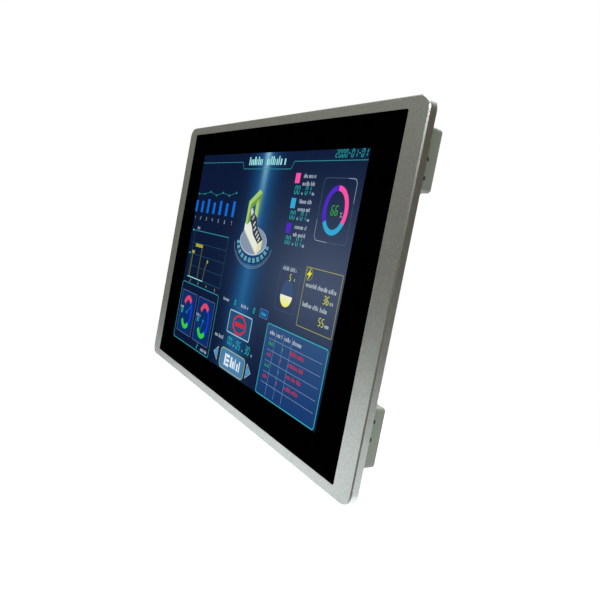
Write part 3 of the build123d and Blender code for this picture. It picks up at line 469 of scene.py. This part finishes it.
rule_teal = lit("rule_teal", "#358a94")
title_cyan = lit("title_cyan", "#9fe3e6")
figure_teal = lit("figure_teal", "#2bbab8")
frame_teal = lit("frame_teal", "#37adba")
rule = [(0, 9.4), (102.3, 9.4), (106.2, 16.6), (197.9, 16.6), (201.9, 9.4), (304.1, 9.4)]
picture_piece("picture_header", [
    (rule_teal, 1, [stroke(rule, 0.65)]),
    (title_cyan, 2, greeked(116, 147, 4.0, 8.6, 3) + greeked(152, 189, 4.0, 8.6, 5)),
    (figure_teal, 2, readout("2000-01-01", 262.0, 0.6, 6.2, 0.09)),
])

# ---- The picture: bar chart ----
# Seven blue bars with a teal line of dots over them and a figure under each.


def arc(x, y, wide, high, start, end, steps=40):
    """Points on an ellipse. Angles are in degrees, clockwise from its top."""
    turn = np.radians(np.linspace(start, end, steps))
    return np.stack([x + wide * np.sin(turn), y - high * np.cos(turn)], axis=1)


def disc(x, y, wide, high, steps=16):
    """An ellipse, as its upper line and its lower line."""
    return np.stack([arc(x, y, wide, high, -89, 89, steps), arc(x, y, wide, high, 269, 91, steps)])


bar_blue = lit("bar_blue", "#156ad2")
dot_teal = lit("dot_teal", "#26ab9f")
label_white = lit("label_white", "#a9b4c4")
bar_pitch = 16.1
dot_heights = (47.4, 47.1, 43.9, 47.7, 43.9, 46.6, 42.8)
bar_tops = (55.4, 55.6, 52.7, 55.9, 53.2, 55.4, 52.2)
bar_foot = 69.4
dots = [(3.0 + i * bar_pitch, y) for i, y in enumerate(dot_heights)]
picture_piece("picture_bars", [
    (bar_blue, 1, [block(dots[i][0] - 3.2, top, 5.6, bar_foot - top) for i, top in enumerate(bar_tops)]),
    (rule_teal, 1, [stroke(dots, 0.45)]),
    (dot_teal, 2, [disc(x, y, 1.0, 1.2) for x, y in dots]),
    *[(label_white, 2, readout(str(i + 1), x - 0.8, 74.6, 3.6, 0.2)) for i, (x, y) in enumerate(dots)],
])

# ---- The picture: step graph ----
# A teal frame with rules across it, and a yellow stepped line that rises and falls.

graph_yellow = lit("graph_yellow", "#5f6134")
graph_bright = lit("graph_bright", "#a8a23a")
rule_dim = lit("rule_dim", "#1f5263")
graph_left, graph_right, graph_top, graph_foot = 10.5, 100.2, 92.2, 149.0
graph_rules = (106.6, 120.6, 134.8)
frame_line = [
    (graph_left, graph_top), (graph_right, graph_top),
    (graph_right, graph_foot), (graph_left, graph_foot),
]
picture_piece("picture_graph", [
    (rule_dim, 1, [block(graph_left, y, graph_right - graph_left, 0.5) for y in graph_rules]),
    (rule_dim, 2, [stroke(frame_line, 0.7, closed=True)]),
    (rule_teal, 3, [stroke(frame_line[:2], 0.9)]),
    (title_cyan, 3, [block(graph_left, graph_foot - 0.5, 44, 1.0)]),
    (figure_teal, 3, [disc(5.6, y, 2.3, 1.1) for y in (graph_top, graph_rules[1])]),
    (graph_yellow, 3, [
        block(13.6, 117.6, 2.6, 31.0), block(37.8, 109.5, 1.6, 39.0),
        stroke([(53.6, 148.4), (55.0, 134.0), (58.6, 124.6)], 1.6),
    ]),
    (graph_bright, 4, [
        block(12.0, 116.6, 7.6, 3.4), block(19.4, 107.6, 20.2, 3.8), disc(58.8, 125.2, 1.9, 2.0),
    ]),
    (graph_bright, 3, [s for i in range(4) for s in readout(str(i + 2), 20.4 + i * 22.6, 151.6, 3.2, 0.24)]),
    (label_white, 3, greeked(16.5, 24.0, 86.8, 3.4, 7)),
])

# ---- The picture: gauges ----
# Two dark cards in a teal frame. Each holds an arc in three colours and a short pointer.

card_navy = lit("card_navy", "#0b2f6a")
card_edge = lit("card_edge", "#6c7a9e")
gauge_red = lit("gauge_red", "#e0486a")
gauge_blue = lit("gauge_blue", "#1436cf")
gauge_green = lit("gauge_green", "#33cf3c")
pointer_blue = lit("pointer_blue", "#1b7ad6")
gauge_y, gauge_wide, gauge_high = 191.6, 14.4, 20.4
arc_width = 5.4


def rounded(left, top, width, height, corner):
    """The points of a frame with round corners."""
    middle = (left + width / 2, top + height / 2)
    return outline(width, height, corner, middle, steps=6)


def card(left, top, width, height, corner):
    """A filled card: the upper half of its outline and the lower half, end to end."""
    turn = np.radians(np.linspace(2, 90, 7))
    x, y = corner * (1 - np.cos(turn)), corner * (1 - np.sin(turn))
    x, y = np.r_[x, width - x[::-1]], np.r_[y, y[::-1]]
    return np.stack([np.c_[left + x, top + y], np.c_[left + x, top + height - y]])


def band(x, y, wide, high, width, start, end):
    """Part of an elliptic ring."""
    inside = arc(x, y, wide - width, high - width, start, end)
    return np.stack([arc(x, y, wide, high, start, end), inside])


gauge_rows = [(frame_teal, 1, [stroke(rounded(1.0, 156.8, 100.6, 70.4, 3.2), 0.65, closed=True)])]
for left, turn in ((6.8, 55), (54.4, 205)):
    x = left + 20.4
    tip = arc(x, gauge_y, 11.5, 15.0, turn, turn, 1)[0]
    gauge_rows += [
        (card_navy, 1, [block(left, 166.6, 41.6, 50.8)]),
        (card_edge, 2, [stroke(rounded(left, 166.6, 41.6, 50.8, 0.6), 0.5, closed=True)]),
        (gauge_red, 2, [band(x, gauge_y, gauge_wide, gauge_high, arc_width, -55, 42)]),
        (gauge_blue, 2, [band(x, gauge_y, gauge_wide, gauge_high, arc_width - 1.2, 42, 138)]),
        (gauge_green, 2, [band(x, gauge_y, gauge_wide, gauge_high, arc_width, 138, 235)]),
        (pointer_blue, 3, [stroke([(x, gauge_y), tip], 1.0), disc(x, gauge_y, 1.9, 1.7)]),
        (label_white, 3, greeked(left + 1.0, left + 12.5, gauge_y - 6.4, 3.6, int(left))),
        (figure_teal, 3, readout("80", left + 4.0, gauge_y - 1.6, 4.4, 0.18)),
    ]
gauge_rows += [
    (figure_teal, 3, readout("2", 69.4, 219.6, 5.2, 0.18)),
    (label_white, 3, greeked(80.5, 97.0, 220.8, 3.8, 9)),
]
picture_piece("picture_gauges", gauge_rows)

# ---- The picture: machine ----
# A stepped conveyor comes down out of a green gate, on a pale round platform with a ring of
# teal blocks. It is drawn in flat faces, as seen from a corner.

gate_light = lit("gate_light", "#a6cb70")
gate_dark = lit("gate_dark", "#6f9648")
body_light = lit("body_light", "#e9ecdf")
body_warm = lit("body_warm", "#dcdcb8")
belt_black = lit("belt_black", "#3a3d3f")
step_white = lit("step_white", "#cfd3d0")
platform_grey = lit("platform_grey", "#8696ad")
platform_edge = lit("platform_edge", "#c3cbd8")
block_teal = lit("block_teal", "#5fa0b4")
pit_blue = lit("pit_blue", "#193a66")
ring_pale = lit("ring_pale", "#7d92a8")
machine_x, machine_y = 152.6, 91.5
teeth = 180 + 16.5 * np.arange(-5, 6)
step_places = ((145.2, 66.6), (149.4, 72.4), (152.2, 77.2), (156.8, 81.2), (160.2, 84.2), (163.6, 87.2))
picture_piece("picture_machine", [
    (pit_blue, 1, [band(machine_x, machine_y, 33.6, 22.0, 8.0, 92, 268)]),
    (ring_pale, 2, [band(machine_x, machine_y, 38.0, 26.2, 0.6, 96, 264)]),
    (ring_pale, 3, [band(machine_x, machine_y, 35.6, 24.4, 0.4, 118, 242)]),
    (block_teal, 4, [
        np.stack([
            arc(machine_x, machine_y, 32.4, 20.6, turn - 5.2, turn + 5.2, 3),
            arc(machine_x, machine_y, 26.8, 15.6, turn - 5.2, turn + 5.2, 3),
        ]) for turn in teeth
    ]),
    (platform_edge, 5, [disc(machine_x, machine_y - 1.6, 26.8, 14.4, 40)]),
    (platform_grey, 6, [disc(machine_x, machine_y - 2.0, 26.0, 13.7, 40)]),
    (gate_light, 7, [
        np.array([[(131.2, 50.4), (131.2, 74.6)], [(136.4, 53.4), (135.4, 75.4)]]),
        np.array([[(131.2, 50.4), (149.2, 37.6)], [(136.4, 53.4), (154.6, 40.6)]]),
        np.array([[(146.4, 48.0), (146.4, 62.0)], [(151.2, 47.0), (152.8, 66.0)]]),
    ]),
    (gate_dark, 7, [
        np.array([[(136.4, 53.4), (154.6, 40.6)], [(136.4, 59.0), (154.6, 46.4)]]),
        np.array([[(151.2, 44.6), (152.8, 66.0)], [(154.6, 40.6), (154.6, 66.0)]]),
        np.array([[(136.4, 57.0), (135.4, 75.4)], [(139.8, 56.0), (139.8, 73.0)]]),
    ]),
    (body_light, 8, [
        np.array([
            [(130.8, 72.8), (135.5, 74.8), (140.4, 70.6), (144.8, 75.0), (150.2, 83.6), (162.6, 91.8)],
            [(130.8, 80.6), (135.5, 83.8), (140.4, 87.2), (144.8, 90.4), (150.2, 94.2), (162.6, 103.0)],
        ]),
    ]),
    (body_warm, 9, [
        np.array([[(162.6, 91.8), (170.9, 86.8)], [(162.6, 103.0), (170.9, 96.4)]]),
        np.array([[(130.8, 78.8), (162.6, 101.0)], [(130.8, 80.6), (162.6, 103.0)]]),
    ]),
    (belt_black, 9, [
        np.array([[(139.6, 59.6), (143.4, 62.6), (151.8, 65.2), (157.1, 75.9), (170.9, 86.8)],
                  [(140.3, 68.8), (142.6, 71.2), (145.6, 74.2), (151.0, 83.1), (162.6, 91.8)]]),
    ]),
    (step_white, 10, [
        np.array([[(137.6, 59.4), (140.8, 56.8)], [(141.2, 65.4), (144.2, 61.4)]]),
        *[
            np.array([[(x - 1.9, y + 1.9), (x + 0.7, y - 2.6)], [(x - 0.3, y + 2.8), (x + 2.3, y - 1.6)]])
            for x, y in step_places
        ],
    ]),
])

# ---- The picture: buttons and clock ----
# A framed stop key with a red eight-sided mark, a menu key with three bars, two arrows, and a
# row of teal figures between them.

key_frame = lit("key_frame", "#a8c8d8")
stop_red = lit("stop_red", "#e1242f")
menu_edge = lit("menu_edge", "#a3b583")
menu_white = lit("menu_white", "#e4eef6")
arrow_blue = lit("arrow_blue", "#3f9fdc")
unit_blue = lit("unit_blue", "#1f4f8c")


def shaded_card(name, left, top, width, height, corner, colours, layer):
    """A filled card whose colour changes from its ends to its middle, or from top to foot."""
    edge = card(left, top, width, height, corner)
    steps = 24
    share = np.linspace(0, 1, steps)[:, None, None]
    grid = edge[0][None] + (edge[1] - edge[0])[None] * share
    flat = grid.reshape(-1, 2)
    x, y = (flat[:, 0] - left) / width, (flat[:, 1] - top) / height
    if "middle" in colours:
        shown = mixed(colours["edge"], colours["middle"], 1 - (2 * x - 1) ** 2)
    else:
        shown = mixed(colours["edge"], colours["foot"], y)
    wide = edge.shape[1]
    here = (np.arange(steps - 1)[:, None] * wide + np.arange(wide - 1)).ravel()
    faces = np.stack([here, here + wide, here + wide + 1, here + 1], axis=1)
    return glowing_points(name, on_picture(flat, layer), faces, shown)


stop_card = {"edge": "#1e4a74", "middle": "#3f78a2"}
shaded_card("picture_stop_key", 133.4, 164.8, 46.4, 23.2, 1.6, stop_card, 1)
menu_card = {"edge": "#3f73a0", "middle": "#5f95c0"}
shaded_card("picture_menu_key", 129.0, 205.6, 52.0, 21.0, 5.0, menu_card, 1)
eight_sides = arc(156.6, 176.4, 13.2, 9.6, 22.5, 337.5, 8)
clock_left, clock_pitch = 138.8, 18.6
unit_places = [clock_left + 12.8 + clock_pitch * i for i in range(3)]
picture_piece("picture_keys", [
    (key_frame, 2, [stroke(rounded(133.4, 164.8, 46.4, 23.2, 1.6), 1.1, closed=True)]),
    (stop_red, 2, [
        stroke(eight_sides, 1.9, closed=True),
        card(148.2, 174.4, 16.8, 4.0, 0.8),
    ]),
    (menu_edge, 2, [stroke(rounded(129.0, 205.6, 52.0, 21.0, 5.0), 1.0, closed=True)]),
    (menu_white, 2, [block(139.4, 210.2, 3.2, 12.4)]),
    (menu_white, 2, [block(143.4, 210.2 + 4.7 * i, 6.4, 3.0) for i in range(3)]),
    (menu_white, 2, greeked(152.4, 175.0, 210.6, 10.6, 12)),
    (key_frame, 2, [
        stroke([(x, 215.2), (x + s * 8.4, 208.4), (x + s * 8.4, 222.0)], 0.8, closed=True)
        for x, s in ((113.6, 1), (193.8, -1))
    ]),
    (arrow_blue, 3, [
        np.array([
            [(x + s * 1.8, 215.1), (x + s * 7.2, 210.8)],
            [(x + s * 1.8, 215.3), (x + s * 7.2, 219.6)],
        ])
        for x, s in ((113.6, 1), (193.8, -1))
    ]),
    *[
        (figure_teal, 2, readout(text, clock_left + clock_pitch * i, 192.4, 7.6))
        for i, text in enumerate(("00", "05", "30"))
    ],
    (label_white, 2, greeked(109.2, 130.0, 194.4, 4.2, 14)),
    *[(label_white, 2, greeked(x, x + 2.6, 197.6, 2.6, 20 + i)) for i, x in enumerate(unit_places)],
    (label_white, 2, greeked(113.2, 128.0, 154.6, 3.6, 15) + greeked(153.6, 168.8, 154.6, 3.6, 16)),
    (figure_teal, 2, readout("0", 139.0, 153.6, 5.2, 0.18) + readout("0", 178.4, 153.6, 5.2, 0.18)),
    (unit_blue, 1, [block(190.6, 151.2, 14.6, 8.0)]),
    (card_edge, 2, [stroke(rounded(190.6, 151.2, 14.6, 8.0, 0.6), 0.5, closed=True)]),
    (figure_teal, 2, greeked(193.4, 203.0, 153.6, 3.4, 17)),
])

# ---- The picture: legend and ring ----
# Three coloured squares with their figures, and a ring in the same three colours on a card
# with a faint edge.

legend_pink = lit("legend_pink", "#fb53a8")
legend_cyan = lit("legend_cyan", "#35a8d4")
legend_violet = lit("legend_violet", "#512bc8")
percent_green = lit("percent_green", "#3fb92f")
faint_edge = lit("faint_edge", "#535f78")
legend_rows = []
for i, ink in enumerate((legend_pink, legend_cyan, legend_violet)):
    top = 20.2 + 23.1 * i
    legend_rows += [
        (ink, 2, [block(208.4, top, 7.6, 9.4)]),
        (label_white, 2, greeked(221.6, 241.6, top + 0.6, 3.8, 30 + i)),
        (label_white, 2, greeked(221.6, 241.6, top + 7.6, 3.8, 40 + i)),
        (figure_teal, 2, readout("00", 210.6, top + 12.0, 7.2, 0.1)),
        (figure_teal, 2, readout("01", 227.8, top + 12.0, 7.2, 0.1)),
        (label_white, 2, greeked(222.4, 225.4, top + 16.8, 2.8, 50 + i)),
        (label_white, 2, greeked(238.4, 242.6, top + 16.8, 2.8, 60 + i)),
    ]
ring_x, ring_y = 275.2, 50.8
sectors = ((legend_pink, 0, 123), (legend_cyan, 123, 237), (legend_violet, 237, 360))
picture_piece("picture_legend", legend_rows + [
    (faint_edge, 1, [stroke(rounded(253.2, 24.0, 43.4, 54.0, 4.0), 0.4, closed=True)]),
    (label_white, 2, [
        stroke([(285.0, 24.0), (294.0, 24.6), (296.4, 28.0), (296.6, 44.0)], 0.4),
        stroke([(253.2, 60.0), (253.4, 74.0), (256.0, 77.4), (272.0, 78.0)], 0.4),
    ]),
    *[(ink, 2, [band(ring_x, ring_y, 16.4, 20.8, 4.6, start, end)]) for ink, start, end in sectors],
    (percent_green, 2, readout("66", ring_x - 5.2, ring_y - 3.8, 7.8, 0.1)),
    (label_white, 2, [
        disc(283.2, 52.6, 0.6, 0.7), disc(284.6, 55.4, 0.6, 0.7),
        stroke([(285.0, 51.8), (282.8, 56.2)], 0.4),
    ]),
])

# ---- The picture: power cards ----
# A faint card with a half-filled drop, and a yellow frame with a flash and two figures.

power_yellow = lit("power_yellow", "#a8a455")
flash_yellow = lit("flash_yellow", "#e6e234")
drop_navy = lit("drop_navy", "#3d5379")
units_grey = lit("units_grey", "#b4bac6")
flash = [(259.2, 101.4), (253.4, 108.2), (257.0, 108.2), (255.2, 113.0), (261.0, 105.4), (257.4, 105.4)]
liquid_y, liquid_wide, liquid_deep = 131.4, 9.6, 10.4
liquid_points = 20  # across the drop
picture_piece("picture_power", [
    (faint_edge, 1, [stroke(rounded(212.8, 104.4, 32.8, 41.4, 3.2), 0.35, closed=True)]),
    (label_white, 2, greeked(215.6, 239.0, 105.6, 3.6, 70) + greeked(236.6, 239.4, 113.6, 3.6, 71)),
    (flash_yellow, 2, readout("5", 228.8, 111.8, 5.6, 0.12)),
    (drop_navy, 1, [np.stack([
        arc(229.0, liquid_y, liquid_wide, 14.8, -89, 89, liquid_points),
        arc(229.0, liquid_y, liquid_wide, 0.01, -89, 89, liquid_points),
    ])]),
    (power_yellow, 1, [stroke(rounded(252.0, 101.2, 49.6, 51.4, 0.6), 0.6, closed=True)]),
    (flash_yellow, 2, [
        np.array([[flash[1], flash[0]], [flash[2], flash[5]]]),
        np.array([[flash[2], flash[5]], [flash[3], flash[4]]]),
    ]),
    (power_yellow, 2, [band(257.2, 107.0, 5.0, 5.4, 0.4, 0, 360)]),
    (units_grey, 2, greeked(255.4, 300.0, 114.0, 4.0, 72) + greeked(255.4, 292.0, 131.0, 4.0, 73)),
    (flash_yellow, 2, readout("36", 282.4, 121.0, 6.4, 0.11) + readout("55", 281.4, 139.6, 6.4, 0.11)),
    (units_grey, 2, greeked(291.6, 296.6, 123.6, 3.6, 74) + greeked(290.6, 297.4, 142.4, 3.6, 75)),
])
liquid = np.stack([
    arc(229.0, liquid_y, liquid_wide, 0.01, 91, 269, liquid_points),
    arc(229.0, liquid_y, liquid_wide, liquid_deep, 91, 269, liquid_points),
])
flat = liquid.reshape(-1, 2)
here = np.arange(liquid_points - 1)
faces = np.stack([here, here + 1, here + liquid_points + 1, here + liquid_points], axis=1)
depth = np.clip((flat[:, 1] - liquid_y) / liquid_deep, 0, 1)
glowing_points("picture_liquid", on_picture(flat, 2), faces, mixed("#f2f0dc", "#f0ee5a", depth))

# ---- The picture: table ----
# A blue table of five rows under a heading, in a teal frame. Its words are plain blocks.

rule_white = lit("rule_white", "#8799bb")
row_green = lit("row_green", "#2f9f4c")
row_red = lit("row_red", "#b8324c")
table_left, table_top, table_wide, table_high = 208.2, 161.4, 93.2, 66.0
row_rules = (174.0, 184.3, 194.5, 204.7, 214.8)
column_rules = (224.8, 238.2, 251.0)
table_card = {"edge": "#33527f", "foot": "#183a70"}
shaded_card("picture_table_ground", table_left, table_top, table_wide, table_high, 2.4, table_card, 1)
table_rows = [
    (frame_teal, 2, [stroke(rounded(table_left, table_top, table_wide, table_high, 2.4), 0.9, closed=True)]),
    (rule_white, 2, [block(214.4, y, 82.6, 0.4) for y in row_rules]),
    (rule_white, 2, [block(x, 165.0, 0.35, 60.0) for x in column_rules]),
    (units_grey, 2, greeked(214.6, 223.6, 166.2, 4.0, 80) + greeked(226.0, 237.4, 166.2, 4.0, 81)),
    (units_grey, 2, greeked(239.2, 250.0, 166.2, 4.0, 82) + greeked(252.2, 266.6, 166.2, 4.0, 83)),
]
for i, y in enumerate(row_rules[:4]):
    first = row_red if i % 2 else row_green
    table_rows += [
        (first, 2, greeked(215.6, 223.6, y + 2.2, 3.8, 84 + i) + greeked(239.0, 241.8, y + 2.2, 3.8, 88 + i)),
        (row_red, 2, greeked(252.2, 275.0, y + 2.2, 3.8, 92 + i)),
    ]
picture_piece("picture_table", table_rows)

# ---- Rear housing ----
# A die-cast aluminium box with four lugs for the clamps, powder coated in a matt grey-green
# that hides the flow marks of the casting.

finish({"cast_housing"}, patterned(
    "powder_coated_casting", ("#7f8276", "#8b8e83"), (0.48, 0.6), size=0.7, depth=0.03))

# ---- Rear cover and its door ----
# Folded zinc-plated sheet: dull silver with a bluish cast, a fine rolled grain along its
# length and soft cloudy patches.

finish({"zinc_sheet"}, patterned(
    "zinc_plated_sheet", ("#a6abb0", "#bcc1c6"), (0.3, 0.46), size=1.2, depth=0.006,
    stretch=(0.08, 1, 1), Metallic=1.0))
finish({"zinc_screw"}, patterned(
    "zinc_plated_screws", ("#b4b5b2", "#cacbc8"), (0.24, 0.36), size=0.5, Metallic=1.0))

# ---- Boards and their parts ----
# Glass-epoxy boards under a green solder mask, with copper tracks that show through it, and
# black moulded chips, a black anodised heat sink, ferrite coils and a steel coin cell.


def board_finish():
    """Tracks run along the edges of cells about 7 mm wide, and reach 0.4 mm to each side so that
    they show. The mask over them is a lighter green."""
    made, tree = new_material("green_solder_mask")
    place = add(tree, "TexCoord").outputs["Object"]
    cells = {"Vector": place, "Scale": 1000 / 7}
    cells = add(tree, "TexVoronoi", cells, feature="DISTANCE_TO_EDGE", distance="MANHATTAN")
    cells = cells.outputs["Distance"]
    span = {"Value": cells, "From Min": 0.03, "From Max": 0.06, "To Min": 1.0, "To Max": 0.0}
    track = add(tree, "MapRange", span).outputs[0]
    ramp = add(tree, "ValToRGB", {"Fac": track})
    ramp.color_ramp.elements[0].color = linear("#0f4a26")
    ramp.color_ramp.elements[1].color = linear("#2a7a45")
    bump = add(tree, "Bump", {"Height": track, "Distance": 0.00003}).outputs[0]
    look = {"Base Color": ramp.outputs[0], "Roughness": 0.28, "Normal": bump, "IOR": 1.5}
    shade(tree, add(tree, "BsdfPrincipled", look))
    return made


finish({"green_board"}, board_finish())
finish({"chip_black"}, patterned(
    "moulded_epoxy", ("#151517", "#1e1e20"), (0.5, 0.65), size=0.3, depth=0.01))
finish({"heat_sink_aluminium"}, patterned(
    "black_anodised_extrusion", ("#26262a", "#34343a"), (0.38, 0.5), size=0.4, depth=0.006,
    stretch=(1, 1, 0.05), Metallic=0.6))
finish({"ferrite_grey"}, patterned("ferrite", ("#2b2b2d", "#3a3a3c"), (0.55, 0.75), size=0.5, depth=0.02))
finish({"grey_pad"}, patterned("silicone_pad", ("#7b8188", "#8d939a"), (0.6, 0.75), size=0.6, depth=0.02))
finish({"cell_steel"}, patterned(
    "stamped_stainless_steel", ("#b9b9b6", "#d0d0cd"), (0.18, 0.3), size=0.4, Metallic=1.0))
finish({"brass_post"}, patterned(
    "turned_brass", ("#b08f4a", "#c8a862"), (0.25, 0.38), size=0.4, Metallic=1.0))
finish({"brass_nut"}, patterned(
    "yellow_brass", ("#b4913f", "#cdab5c"), (0.22, 0.36), size=0.4, Metallic=1.0))
finish({"amber_film"}, patterned("polyimide_film", ("#9a5a12", "#b06f20"), (0.25, 0.35), size=1.0))
finish({"white_ribbon"}, patterned(
    "ribbon_cable", ("#c9c9c4", "#e0e0dc"), (0.4, 0.5), size=0.5, depth=0.03, stretch=(1, 0.04, 0.04)))

# ---- Sockets along the lower edge ----
# Folded nickel-plated shells with gold-flashed contacts, green moulded terminals, a black
# reset key and a red switch block with two white sliders.

finish({"socket_shell"}, patterned(
    "nickel_plated_shell", ("#a8a69e", "#bebcb4"), (0.24, 0.36), size=0.5, depth=0.004, Metallic=1.0))
finish({"nickel_post"}, patterned(
    "nickel_plated_post", ("#a9a79d", "#c2c0b7"), (0.2, 0.32), size=0.4, Metallic=1.0))
finish({"gold_contact"}, patterned(
    "gold_flash", ("#c9a24a", "#e0bc68"), (0.2, 0.3), size=0.3, Metallic=1.0))
finish({"green_plastic"}, patterned(
    "green_polyamide", ("#0f6a37", "#188046"), (0.35, 0.5), size=0.5, depth=0.01))
finish({"black_plastic"}, patterned(
    "black_polyamide", ("#161617", "#212123"), (0.42, 0.58), size=0.4, depth=0.01))
finish({"white_plastic"}, patterned(
    "white_polyamide", ("#d5d4cc", "#e2e1da"), (0.4, 0.55), size=0.4, depth=0.01))
finish({"button_plastic"}, patterned(
    "black_acetal", ("#1b1b1c", "#29292b"), (0.3, 0.42), size=0.4, depth=0.005))
finish({"red_plastic"}, patterned(
    "red_polyester", ("#8e1912", "#a8241b"), (0.35, 0.5), size=0.4, depth=0.01))
